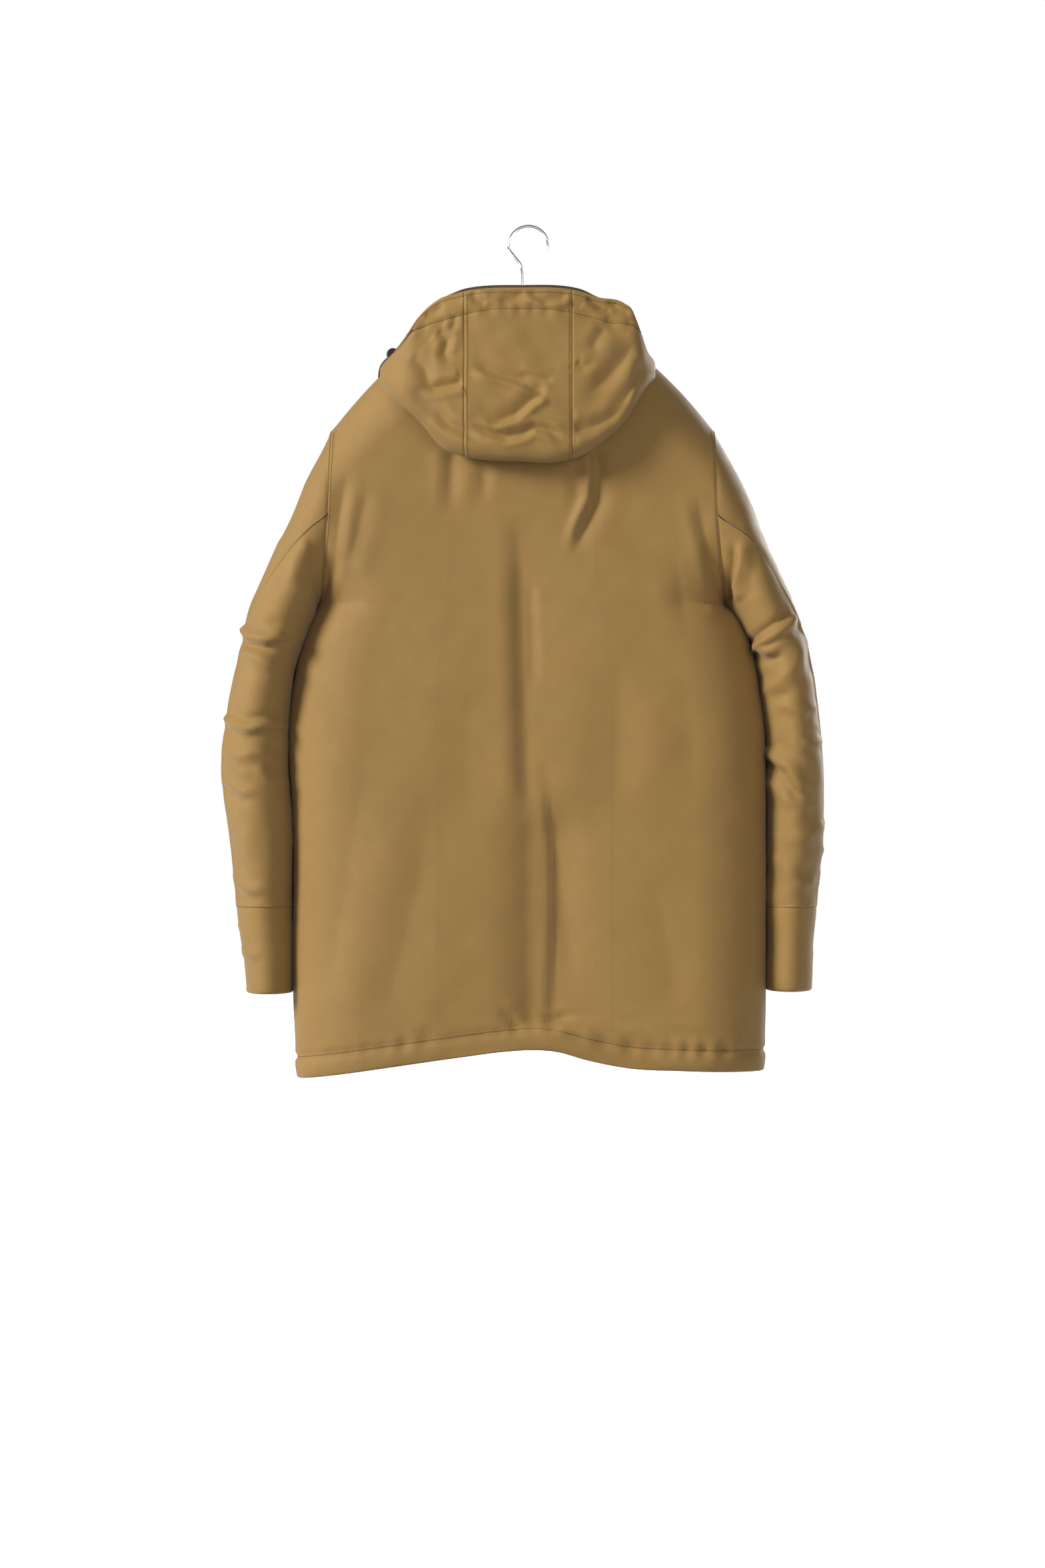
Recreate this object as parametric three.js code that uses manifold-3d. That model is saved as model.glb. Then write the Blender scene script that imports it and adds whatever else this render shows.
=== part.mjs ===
// A hooded, insulated parka hanging on a coat hanger, in millimetres with +Z up.
// The coat's back faces -Y, its zip faces +Y, and the wearer's left is at -X.
// The origin is on the hook's stem axis, at the height where the hook rests on a rail.
import * as THREE from "three";
import { mergeVertices } from "three/addons/utils/BufferGeometryUtils.js";
import Module from "manifold-3d";

const wasm = await Module();
wasm.setup();

// ---- driving dimensions ----
const GAP = 0.3; // clearance between pieces that touch
const LAYERS = { shell: [0, 1.2], insulation: [1.5, 10.5], lining: [13.2, 14] };
const HALF_DEPTH = 66; // from the shoulder seam's plane to the back, and to the front
const ROUNDING = 90; // how far in from an edge the coat reaches its full depth
const NECK_HALF = 88;
const NECK_DIP = { back: 12, front: 29 }; // how far the neckline dips in the middle
const ARM_RISE = 1.2; // how fast the coat's sides deepen above the underarm
const SHOULDER_HALF = 239;
const SHOULDER_TOP = -100; // the shoulder line, carried on over the neck
const SHOULDER_DROP = 0.00272; // the shoulder line's fall, per mm squared
const SHOULDER_END = SHOULDER_TOP - SHOULDER_DROP * SHOULDER_HALF ** 2;
const UNDERARM = -472;
const HEM_MIDDLE = -1022.5;
const HEM_MIDDLE_X = 10;
const ZIP_HALF = 15; // the fronts' edges, each side of the zip
const ZIP_TOP = -78;
const ZIP_BOTTOM = -1020;

// ---- small helpers ----
const lerp = (a, b, t) => a + (b - a) * t;
const clamp01 = (t) => Math.min(1, Math.max(0, t));
const smooth = (a, b, x) => {
  const t = clamp01((x - a) / (b - a));
  return t * t * (3 - 2 * t);
};
const vec = (x, y, z) => new THREE.Vector3(x, y, z);

// A straight-line table: the value at t from pairs [t, value], sorted by rising t.
function table(pairs, t) {
  if (t <= pairs[0][0]) return pairs[0][1];
  for (let i = 1; i < pairs.length; i += 1) {
    const [t1, v1] = pairs[i];
    const [t0, v0] = pairs[i - 1];
    if (t <= t1) return lerp(v0, v1, (t - t0) / (t1 - t0));
  }
  return pairs[pairs.length - 1][1];
}

// A closed body from points and faces, turned so that its faces point out.
function closedBody(points, faces) {
  let volume = 0;
  for (const [a, b, c] of faces) {
    volume += points[a].dot(points[b].clone().cross(points[c]));
  }
  const turned = volume < 0 ? faces.map(([a, b, c]) => [a, c, b]) : faces;
  const geometry = new THREE.BufferGeometry().setFromPoints(points);
  geometry.setIndex(turned.flat());
  return geometry;
}

// A sheet between an outer and an inner surface, each a function of (across, along) in 0..1.
// A round sheet joins its last column to its first, and so makes an open tube.
function sheet(outer, inner, across, along, round = false) {
  const columns = round ? across : across + 1;
  const points = [];
  for (const surface of [outer, inner]) {
    for (let j = 0; j <= along; j += 1) {
      for (let i = 0; i < columns; i += 1) points.push(surface(i / across, j / along));
    }
  }
  const layer = columns * (along + 1);
  const at = (side, i, j) => side * layer + j * columns + (i % columns);
  const faces = [];
  const quad = (a, b, c, d) => faces.push([a, b, c], [a, c, d]);
  for (let j = 0; j < along; j += 1) {
    for (let i = 0; i < across; i += 1) {
      quad(at(0, i, j), at(0, i + 1, j), at(0, i + 1, j + 1), at(0, i, j + 1));
      quad(at(1, i, j), at(1, i, j + 1), at(1, i + 1, j + 1), at(1, i + 1, j));
    }
  }
  for (let i = 0; i < across; i += 1) {
    quad(at(1, i, 0), at(1, i + 1, 0), at(0, i + 1, 0), at(0, i, 0));
    quad(at(0, i, along), at(0, i + 1, along), at(1, i + 1, along), at(1, i, along));
  }
  if (!round) {
    for (let j = 0; j < along; j += 1) {
      quad(at(0, 0, j), at(0, 0, j + 1), at(1, 0, j + 1), at(1, 0, j));
      quad(at(1, across, j), at(1, across, j + 1), at(0, across, j + 1), at(0, across, j));
    }
  }
  return closedBody(points, faces);
}

function toSolid(geometry) {
  const bare = geometry.clone();
  bare.deleteAttribute("normal");
  bare.deleteAttribute("uv");
  const merged = mergeVertices(bare, 1e-4);
  const mesh = new wasm.Mesh({
    numProp: 3,
    vertProperties: merged.attributes.position.array,
    triVerts: new Uint32Array(merged.index.array),
  });
  return new wasm.Manifold(mesh);
}

function toGeometry(solid) {
  const mesh = solid.getMesh();
  const geometry = new THREE.BufferGeometry();
  geometry.setAttribute("position", new THREE.BufferAttribute(mesh.vertProperties, 3));
  geometry.setIndex(new THREE.BufferAttribute(mesh.triVerts, 1));
  return geometry;
}

const cut = (geometry, ...tools) =>
  toGeometry(tools.reduce((solid, tool) => solid.subtract(toSolid(tool)), toSolid(geometry)));
const join = (geometry, ...others) =>
  toGeometry(others.reduce((solid, other) => solid.add(toSolid(other)), toSolid(geometry)));

const box = (low, high) =>
  new THREE.BoxGeometry(high[0] - low[0], high[1] - low[1], high[2] - low[2]).translate(
    (low[0] + high[0]) / 2,
    (low[1] + high[1]) / 2,
    (low[2] + high[2]) / 2,
  );

// A flat plate with rounded corners in the XZ plane, from y low to y high.
function plate(x0, x1, z0, z1, y0, y1, radius) {
  const shape = new THREE.Shape();
  shape.moveTo(x0 + radius, z0);
  shape.lineTo(x1 - radius, z0);
  shape.absarc(x1 - radius, z0 + radius, radius, -Math.PI / 2, 0);
  shape.lineTo(x1, z1 - radius);
  shape.absarc(x1 - radius, z1 - radius, radius, 0, Math.PI / 2);
  shape.lineTo(x0 + radius, z1);
  shape.absarc(x0 + radius, z1 - radius, radius, Math.PI / 2, Math.PI);
  shape.lineTo(x0, z0 + radius);
  shape.absarc(x0 + radius, z0 + radius, radius, Math.PI, Math.PI * 1.5);
  return new THREE.ExtrudeGeometry(shape, { depth: y1 - y0, bevelEnabled: false, curveSegments: 4 })
    .rotateX(Math.PI / 2)
    .translate(0, y1, 0);
}

// A round piece turned about the Y direction, from a closed profile of [radius, y].
const turned = (profile, segments) =>
  new THREE.LatheGeometry(profile.map(([r, y]) => new THREE.Vector2(r, y)), segments);

function wire(curve, steps, radius, sides) {
  const section = new THREE.Shape().absarc(0, 0, radius, 0, Math.PI * 2);
  section.autoClose = true;
  return new THREE.ExtrudeGeometry(section, {
    steps,
    curveSegments: sides,
    extrudePath: curve,
    bevelEnabled: false,
  });
}

// ---- materials ----
const surface = (color, roughness, metalness = 0) =>
  new THREE.MeshStandardMaterial({ color, roughness, metalness });
const looks = {
  shell: surface(0x997749, 0.6),
  lining: surface(0x3a2c18, 0.7),
  fill: surface(0xe6e2d8, 0.95),
  tape: surface(0x4a3a22, 0.8),
  brass: surface(0x8a6b3a, 0.35, 1),
  plastic: surface(0x1d1610, 0.45),
  cord: surface(0x2a2018, 0.85),
  chrome: surface(0xd0d0d2, 0.12, 1),
  wood: surface(0x8a6238, 0.5),
};

const coat = new THREE.Group();
function add(name, geometry, material, parent = coat) {
  const mesh = new THREE.Mesh(geometry, material);
  mesh.name = name;
  parent.add(mesh);
  return mesh;
}
const SIDES = [
  ["left", -1],
  ["right", 1],
];

// ---- the hanger: chrome hook, ferrule and shaped bar ----
const WIRE = 1.75;
const LOOP_RADIUS = 24.6;
const LOOP_CENTRE = vec(7.5, 0, WIRE - LOOP_RADIUS);

function hangerHook() {
  const points = [vec(0, 0, -123), vec(0, 0, -90), vec(0, 0, -56), vec(-2.5, 0, -46.5), vec(-11, 0, -35.5)];
  const turns = 12;
  for (let i = 0; i <= turns; i += 1) {
    const angle = lerp(190, -14, i / turns) * (Math.PI / 180);
    points.push(
      vec(Math.cos(angle) * LOOP_RADIUS, 0, Math.sin(angle) * LOOP_RADIUS).add(LOOP_CENTRE),
    );
  }
  return wire(new THREE.CatmullRomCurve3(points), 34, WIRE, 4);
}

const BAR_TOP = -21; // below the shoulder line, under the lining
const BAR_HALF = 198;
function hangerBar() {
  const steps = 10;
  const top = [];
  const bottom = [];
  for (let i = -steps; i <= steps; i += 1) {
    const x = (BAR_HALF * i) / steps;
    const z = shoulderLine(x) + BAR_TOP;
    top.push(new THREE.Vector2(x, z));
    bottom.push(new THREE.Vector2(x * 0.985, z - lerp(30, 17, Math.abs(i) / steps)));
  }
  const shape = new THREE.Shape([...bottom, ...top.reverse()]);
  const bar = new THREE.ExtrudeGeometry(shape, { depth: 11, bevelEnabled: false })
    .rotateX(Math.PI / 2)
    .translate(0, 5.5, 0);
  const socket = new THREE.CylinderGeometry(2.1, 2.1, 16, 20).rotateX(Math.PI / 2);
  return cut(bar, socket.translate(0, 0, shoulderLine(0) + BAR_TOP));
}

// A flanged collar on top of the bar, which the hook's stem turns in.
function hangerFerrule() {
  const base = shoulderLine(0) + BAR_TOP + GAP;
  const profile = [[2.1, 0], [8, 0], [8, 1.6], [4.6, 2.4], [4.6, 11], [2.1, 11], [2.1, 0]];
  return turned(profile, 20).rotateX(Math.PI / 2).translate(0, 0, base);
}

// ---- the coat's body ----
function shoulderLine(x) {
  return SHOULDER_TOP - SHOULDER_DROP * x * x;
}

// The body's outline below the underarm, as [z, distance from the middle], for each side.
const SIDE_SEAM = {
  "-1": [
    [-1062, 282], [-982, 286], [-909, 288], [-825, 285.5], [-774, 285.5], [-710, 288],
    [-659, 293], [-616, 293], [-570, 286], [-532, 278], [-499, 267], [-482, 259], [UNDERARM, 254],
  ],
  1: [
    [-1062, 302], [-982, 305], [-909, 304.5], [-825, 304], [-774, 303], [-659, 304],
    [-632, 304], [-592, 299], [-530, 287], [-499, 275], [-482, 264], [UNDERARM, 254],
  ],
};
function bodyEdge(side, z) {
  if (z < UNDERARM) return table(SIDE_SEAM[side], z);
  const down = clamp01((SHOULDER_END - z) / (SHOULDER_END - UNDERARM));
  return SHOULDER_HALF + 15 * down * down;
}

function hemLine(x) {
  const from = (x - HEM_MIDDLE_X) / 290;
  return HEM_MIDDLE - (from < 0 ? 37 : 30) * Math.abs(from) ** 0.75;
}

function neckLine(face, x) {
  const round = Math.sqrt(Math.max(0, 1 - (x / NECK_HALF) ** 2));
  return shoulderLine(NECK_HALF) - (face < 0 ? NECK_DIP.back : NECK_DIP.front) * round;
}

// How full the depth is at a distance in from an edge, 0 at the edge and 1 from ROUNDING on.
const fullness = (distance, power) =>
  (1 - (1 - clamp01(distance / ROUNDING)) ** power) ** (1 / power);

// The edge of a layer: it stays in the armhole's plane above the underarm, and moves in below it.
const layerEdge = (side, z, inset) =>
  bodyEdge(side, z) - inset * smooth(UNDERARM + inset, UNDERARM - 12, z);

function bodyDepth(face, side, x, z, inset) {
  const power = face < 0 ? 2 : lerp(4, 2.2, smooth(60, 130, Math.abs(x)));
  const fromTop = shoulderLine(x) - inset - z;
  const aboveArm = Math.max(0, z - UNDERARM - inset);
  const fromSide = layerEdge(side, z, inset) - Math.abs(x) + ARM_RISE * aboveArm;
  return (HALF_DEPTH - inset) * fullness(fromTop, power) * fullness(fromSide, 2);
}

// A point of the body: out runs from the middle (0) to the side seam or armhole (1), down from top to hem.
function bodyPoint(face, side, start, out, down, inset) {
  const spread = 1 - (1 - out) ** 1.7;
  const topX = lerp(start, SHOULDER_HALF, spread);
  const shoulder = shoulderLine(topX) - inset;
  const top = topX < NECK_HALF ? Math.min(shoulder, neckLine(face, topX)) : shoulder;
  const hem = hemLine(side * lerp(start, bodyEdge(side, -1040), spread));
  const z =
    down < 0.5
      ? lerp(top, UNDERARM + inset, 0.5 - 0.5 * Math.cos(down * 2 * Math.PI))
      : lerp(UNDERARM + inset, hem, (down * 2 - 1) ** 1.3);
  const x = lerp(start, layerEdge(side, z, inset), spread);
  return vec(side * x, face * (GAP / 2 + bodyDepth(face, side, x, z, inset)), z);
}

function backLayer([outer, inner]) {
  const at = (inset) => (across, along) => {
    const side = across < 0.5 ? -1 : 1;
    return bodyPoint(-1, side, 0, Math.abs(across - 0.5) * 2, along, inset);
  };
  return sheet(at(outer), at(inner), 12, 8);
}

function frontLayer(side, [outer, inner]) {
  const at = (inset) => (across, along) => bodyPoint(1, side, ZIP_HALF, across, along, inset);
  return sheet(at(outer), at(inner), 6, 8);
}

add("back_panel", backLayer(LAYERS.shell), looks.shell);
add("back_insulation", backLayer(LAYERS.insulation), looks.fill);
add("back_lining", backLayer(LAYERS.lining), looks.lining);
for (const [name, side] of SIDES) {
  add(`${name}_front_panel`, frontLayer(side, LAYERS.shell), looks.shell);
  add(`${name}_front_insulation`, frontLayer(side, LAYERS.insulation), looks.fill);
  add(`${name}_front_lining`, frontLayer(side, LAYERS.lining), looks.lining);
}

// ---- the sleeves ----
// Each section runs from an outer to an inner point of the sleeve, seen from behind, with its half depth.
const SLEEVE = {
  "-1": [
    { out: [241, -258], in: [258.5, -469], half: 60 },
    { out: [263, -303], in: [263.5, -472], half: 66 },
    { out: [286, -357], in: [270, -481], half: 70 },
    { out: [311, -416], in: [278, -498], half: 71 },
    { out: [341, -482], in: [288, -527], half: 71 },
    { out: [357, -549], in: [293, -568], half: 69 },
    { out: [370, -616], in: [296.5, -625], half: 66 },
    { out: [376, -682], in: [296, -684], half: 63 },
    { out: [366, -757], in: [291, -757], half: 60 },
    { out: [357, -849], in: [291, -849], half: 55 },
    { out: [345.5, -956], in: [290.5, -956], half: 50 },
  ],
  1: [
    { out: [241, -258], in: [258.5, -468], half: 60 },
    { out: [263, -300], in: [266, -470], half: 66 },
    { out: [286, -349], in: [275, -479], half: 70 },
    { out: [312.5, -416], in: [286, -497], half: 71 },
    { out: [343, -482], in: [297, -527], half: 71 },
    { out: [361, -549], in: [301, -568], half: 69 },
    { out: [370, -616], in: [307, -625], half: 66 },
    { out: [375, -684], in: [307.5, -686], half: 63 },
    { out: [374, -757], in: [306, -757], half: 60 },
    { out: [367, -849], in: [307, -849], half: 55 },
    { out: [362, -953], in: [307, -953], half: 50 },
  ],
};
const CUFF_SEAM = 9; // the section where the cuff band begins
const SLEEVE_FORWARD = 12; // how far the cuff hangs ahead of the armhole

// A point of the sleeve at a section number and an angle: 0 outwards, 90 to the back, 180 to the body.
function sleevePoint(side, section, degrees, inset) {
  const sections = SLEEVE[side];
  const first = Math.min(Math.floor(section), sections.length - 2);
  const t = section - first;
  const [a, b] = [sections[first], sections[first + 1]];
  const mix = (key, axis) => lerp(a[key][axis], b[key][axis], t);
  const outer = vec(mix("out", 0), 0, mix("out", 1));
  const inner = vec(mix("in", 0), 0, mix("in", 1));
  const middle = outer.clone().add(inner).multiplyScalar(0.5);
  const arm = outer.clone().sub(inner).multiplyScalar(0.5);
  arm.setLength(arm.length() - inset);
  const angle = degrees * (Math.PI / 180);
  const rounder = (value) => Math.sign(value) * Math.abs(value) ** 0.86;
  const forward = SLEEVE_FORWARD * (section / (sections.length - 1)) ** 1.5;
  const point = middle.addScaledVector(arm, rounder(Math.cos(angle)));
  point.y = forward - (lerp(a.half, b.half, t) - inset) * rounder(Math.sin(angle));
  point.x *= side;
  return point;
}

// The back seam starts half way down the armhole and reaches the sleeve's outer edge above the elbow.
const backSeam = (section) => lerp(90, 14, smooth(0, 5.5, section));
const FRONT_SEAM = -110;

const SEAM_TRIM = 0.25; // keeps the two panels apart at their seams, in degrees
const upperAngle = (section, t, trim) =>
  lerp(FRONT_SEAM + trim, backSeam(section) - trim, t);
const underAngle = (section, t, trim) =>
  lerp(backSeam(section) + trim, FRONT_SEAM + 360 - trim, t);

function sleeveTube(side, [outer, inner], first, last, along) {
  const at = (inset) => (around, down) => {
    const section = lerp(first, last, down);
    const half = around * 2;
    const angle = half < 1 ? upperAngle(section, half, 0) : underAngle(section, half - 1, 0);
    return sleevePoint(side, section, angle, inset);
  };
  return sheet(at(outer), at(inner), 14, along, true);
}

function sleevePanel(side, [outer, inner], angleAt) {
  const at = (inset) => (around, down) => {
    const section = down * CUFF_SEAM;
    return sleevePoint(side, section, angleAt(section, around, SEAM_TRIM), inset);
  };
  return sheet(at(outer), at(inner), 7, CUFF_SEAM);
}

const CUFF_START = CUFF_SEAM + 0.006;
const CUFF_END = CUFF_SEAM + 1;
for (const [name, side] of SIDES) {
  add(`${name}_upper_sleeve`, sleevePanel(side, LAYERS.shell, upperAngle), looks.shell);
  add(`${name}_under_sleeve`, sleevePanel(side, LAYERS.shell, underAngle), looks.shell);
  add(`${name}_sleeve_insulation`, sleeveTube(side, LAYERS.insulation, 0, CUFF_END, 10), looks.fill);
  add(`${name}_sleeve_lining`, sleeveTube(side, LAYERS.lining, 0, CUFF_END, 10), looks.lining);
  add(`${name}_cuff`, sleeveTube(side, LAYERS.shell, CUFF_START, CUFF_END, 1), looks.shell);
}

// ---- the stand collar: the hood's fixed front, closed by the zip ----
const COLLAR_LAYERS = { shell: [0, 4], lining: [4.3, 5.1] };
const COLLAR_FRONT_TOP = -74;
const COLLAR_SIDE_TOP = -86;
const COLLAR_LIFT = 8; // above the body's neckline

// A point of the collar at an angle: 90 is the middle of the front, 180 the left side, 270 the back.
function collarPoint(degrees, up, inset) {
  const angle = degrees * (Math.PI / 180);
  const rounder = (value) => Math.sign(value) * Math.abs(value) ** (2 / 3);
  const x = (NECK_HALF - inset) * rounder(Math.cos(angle));
  const reach = Math.sin(angle) > 0 ? HALF_DEPTH : 44;
  const y = (reach - inset) * rounder(Math.sin(angle));
  const bottom = neckLine(y < 0 ? -1 : 1, Math.min(Math.abs(x), NECK_HALF)) + COLLAR_LIFT;
  const top = y > 0 ? lerp(COLLAR_SIDE_TOP, COLLAR_FRONT_TOP, y / HALF_DEPTH) : COLLAR_SIDE_TOP + y / 3;
  return vec(x, y, lerp(bottom, top, up));
}

// A sheet round the neck through the given angles, with that many cells between each and the next.
function collar(angles, cells, [outer, inner]) {
  const total = cells.reduce((sum, count) => sum + count, 0);
  const marks = angles.map((angle, i) => [
    cells.slice(0, i).reduce((sum, count) => sum + count, 0) / total,
    angle,
  ]);
  const at = (inset) => (around, up) => collarPoint(table(marks, around), up, inset);
  return sheet(at(outer), at(inner), total, 1);
}

const COLLAR_FRONT = 85.5; // degrees from the side to the zip
const COLLAR_ENDS = [180 - COLLAR_FRONT, 206, 334, 360 + COLLAR_FRONT];
const [zipLeft, backLeft, backRight, zipRight] = COLLAR_ENDS;
add("left_collar", collar([zipLeft, backLeft], [7], COLLAR_LAYERS.shell), looks.shell);
add("right_collar", collar([backRight, zipRight], [7], COLLAR_LAYERS.shell), looks.shell);
add("collar_lining", collar(COLLAR_ENDS, [7, 5, 7], COLLAR_LAYERS.lining), looks.lining);

// ---- the hood, hanging down the back as an open pouch ----
const HOOD_LEFT = -181;
const HOOD_RIGHT = 168;
const HOOD_LAYERS = { shell: [0, 2.4], lining: [3.2, 4] };
const hoodClear = (x) => 5 + 7.5 * smooth(110, 160, Math.abs(x)); // from the coat's back to the hood
const HOOD_OPENING = 30; // how far the pouch stands open at its middle
const HOOD_SEAMS = [-73, 62];
// The brim's height and the hood's lowest height, along the width.
const HOOD_TOP = [
  [HOOD_LEFT, -170], [-160, -154], [-147, -139], [-133, -118], [-107, -94], [-80, -85], [0, -79],
  [71, -83], [94, -90], [127, -97], [138, -106], [146, -125], [157, -154], [HOOD_RIGHT, -163],
];
const HOOD_BOTTOM = [
  [HOOD_LEFT, -190], [-163, -210], [-128, -246], [-100, -273], [-74, -285], [0, -291], [45, -293],
  [82, -281], [106, -264], [127, -243], [145, -217], [159, -194], [HOOD_RIGHT, -182],
];

const backSurface = (x, z) => HALF_DEPTH * fullness(shoulderLine(x) - z, 2);

// A point of the hood: down runs from the brim (0), round the bottom fold, and up to the neck seam (1).
function hoodPoint(x, down, inset) {
  const top = table(HOOD_TOP, x);
  const bottom = table(HOOD_BOTTOM, x);
  const from = (x - (HOOD_LEFT + HOOD_RIGHT) / 2) / ((HOOD_RIGHT - HOOD_LEFT) / 2 + 2);
  const opening = 2 + HOOD_OPENING * Math.sqrt(Math.max(0, 1 - from * from));
  const wall = HOOD_LAYERS.lining[1];
  const outer = hoodClear(x) + 2 * wall + opening + backSurface(x, bottom);
  const fold = Math.min(22, (top - bottom) / 3);
  const foldZ = bottom + fold;
  if (down <= 0.45) {
    const t = down / 0.45;
    const lean = 8 * (1 - t) ** 2;
    return vec(x, -(outer - lean - inset), lerp(top, foldZ, t));
  }
  const inner = hoodClear(x) + backSurface(x, foldZ);
  if (down < 0.65) {
    const angle = ((down - 0.45) / 0.2) * Math.PI;
    const middle = (outer + inner) / 2;
    const half = (outer - inner) / 2 - inset;
    return vec(x, -(middle + half * Math.cos(angle)), foldZ - (fold - inset) * Math.sin(angle));
  }
  const seam = Math.max(Math.min(shoulderLine(x) - 12, -136), foldZ + 1);
  const z = lerp(foldZ, seam, (down - 0.65) / 0.35);
  return vec(x, -(hoodClear(x) + backSurface(x, z) + inset), z);
}

const HOOD_ROWS = [0, 0.22, 0.45, 0.51, 0.55, 0.59, 0.65, 0.74, 0.83, 0.92, 1];
// A part of the hood through the given places across it, with the same cells between each and the next.
const HOOD_CELLS = 4;
function hoodSheet(places, [outer, inner]) {
  const rows = HOOD_ROWS.length - 1;
  const marks = places.map((x, i) => [i / (places.length - 1), x]);
  const at = (inset) => (across, along) =>
    hoodPoint(table(marks, across), HOOD_ROWS[Math.round(along * rows)], inset);
  return sheet(at(outer), at(inner), HOOD_CELLS * (places.length - 1), rows);
}

const hood = new THREE.Group();
coat.add(hood);
const [seamLeft, seamRight] = HOOD_SEAMS;
const trim = GAP / 2;
const panels = { left: [HOOD_LEFT, seamLeft - trim], centre: [seamLeft + trim, seamRight - trim],
  right: [seamRight + trim, HOOD_RIGHT] };
for (const [name, places] of Object.entries(panels)) {
  add(`hood_${name}_panel`, hoodSheet(places, HOOD_LAYERS.shell), looks.shell, hood);
}
const liningPlaces = [HOOD_LEFT, seamLeft, seamRight, HOOD_RIGHT];
add("hood_lining", hoodSheet(liningPlaces, HOOD_LAYERS.lining), looks.lining, hood);

// ---- the front zip ----
const ZIP_Y = HALF_DEPTH - 1; // the middle of the teeth
const TEETH_IN = 0.9;
const TEETH_OUT = 3.5;
const SLIDER_TOP = ZIP_TOP - 3;
const SLIDER_HEIGHT = 12;
const SLIDER_HALF = 5.2;

for (const [name, side] of SIDES) {
  const [near, far] = [side * (TEETH_OUT + GAP), side * (ZIP_HALF - GAP)];
  const tape = box(
    [Math.min(near, far), ZIP_Y - 0.5, ZIP_BOTTOM],
    [Math.max(near, far), ZIP_Y + 0.5, ZIP_TOP],
  );
  add(`${name}_zip_tape`, tape, looks.tape);
  const [first, last] = [side * TEETH_IN, side * TEETH_OUT];
  const teeth = box(
    [Math.min(first, last), ZIP_Y - 1.5, ZIP_BOTTOM + 4],
    [Math.max(first, last), ZIP_Y + 1.5, ZIP_TOP - 1],
  );
  add(`${name}_zip_teeth`, teeth, looks.brass);
}

// The pull's crossbar turns under an arch on the slider's face.
const PIVOT_Y = ZIP_Y + 4.5;
const PIVOT_Z = SLIDER_TOP - 4.5;
function zipSlider() {
  const low = SLIDER_TOP - SLIDER_HEIGHT;
  const face = plate(-SLIDER_HALF, SLIDER_HALF, low, SLIDER_TOP, ZIP_Y + 1.9, ZIP_Y + 3, 2.5);
  const back = plate(-SLIDER_HALF, SLIDER_HALF, low, SLIDER_TOP, ZIP_Y - 3, ZIP_Y - 1.9, 2.5);
  const bridge = box([-0.55, ZIP_Y - 2.5, SLIDER_TOP - 5], [0.55, ZIP_Y + 2.5, SLIDER_TOP - 0.8]);
  const arch = box([-1.2, ZIP_Y + 2.5, PIVOT_Z - 5.4], [1.2, ZIP_Y + 7, PIVOT_Z + 2.7]);
  const gap = box([-2, ZIP_Y + 3, PIVOT_Z - 4.4], [2, ZIP_Y + 6, PIVOT_Z + 1.7]);
  return join(face, back, bridge, cut(arch, gap));
}

function zipPull() {
  const thick = 0.8;
  const top = PIVOT_Z + 0.9;
  const body = plate(-3.6, 3.6, top - 30, top, PIVOT_Y - thick, PIVOT_Y + thick, 0.6);
  const eye = box([-1.9, ZIP_Y, PIVOT_Z - 7.2], [1.9, ZIP_Y + 9, PIVOT_Z - 0.9]);
  const grip = plate(-1.6, 1.6, top - 27, top - 13, ZIP_Y, ZIP_Y + 9, 1.2);
  return cut(body, eye, grip);
}
add("zip_slider", zipSlider(), looks.brass);
add("zip_pull", zipPull(), looks.brass);

// ---- snaps, used on the storm flap and the pocket flaps ----
function snapPair(prefix, x, z, coatY, flapIn, flapOut) {
  const tall = flapIn - coatY - 2 * GAP;
  const stud = turned([[0, 0], [6, 0], [6, 0.7], [3.4, 0.9], [3.4, tall], [0, tall]], 14);
  add(`${prefix}_stud`, stud.translate(x, coatY + GAP, z), looks.brass);
  const cap = turned([[0, 0], [7.5, 0], [7.5, 0.8], [6, 2], [0, 2.4]], 16);
  add(`${prefix}_cap`, cap.translate(x, flapOut + GAP, z), looks.brass);
}

// ---- the storm flap over the zip, sewn to the left front ----
const FLAP = { x0: -46, x1: 32, top: -128, bottom: -1004, y0: 73.2, y1: 76.4 };
const WELT_WIDTH = 7;
add(
  "storm_flap",
  plate(FLAP.x0, FLAP.x1, FLAP.bottom, FLAP.top, FLAP.y0, FLAP.y1, 6),
  looks.shell,
);
add(
  "storm_flap_welt",
  box(
    [FLAP.x0 - GAP - WELT_WIDTH, HALF_DEPTH + GAP * 2, FLAP.bottom],
    [FLAP.x0 - GAP, FLAP.y1, FLAP.top - 32],
  ),
  looks.shell,
);
[-240, -560, -880].forEach((z, i) => {
  snapPair(`storm_flap_snap_${i + 1}`, 22, z, HALF_DEPTH, FLAP.y0, FLAP.y1);
});

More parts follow.
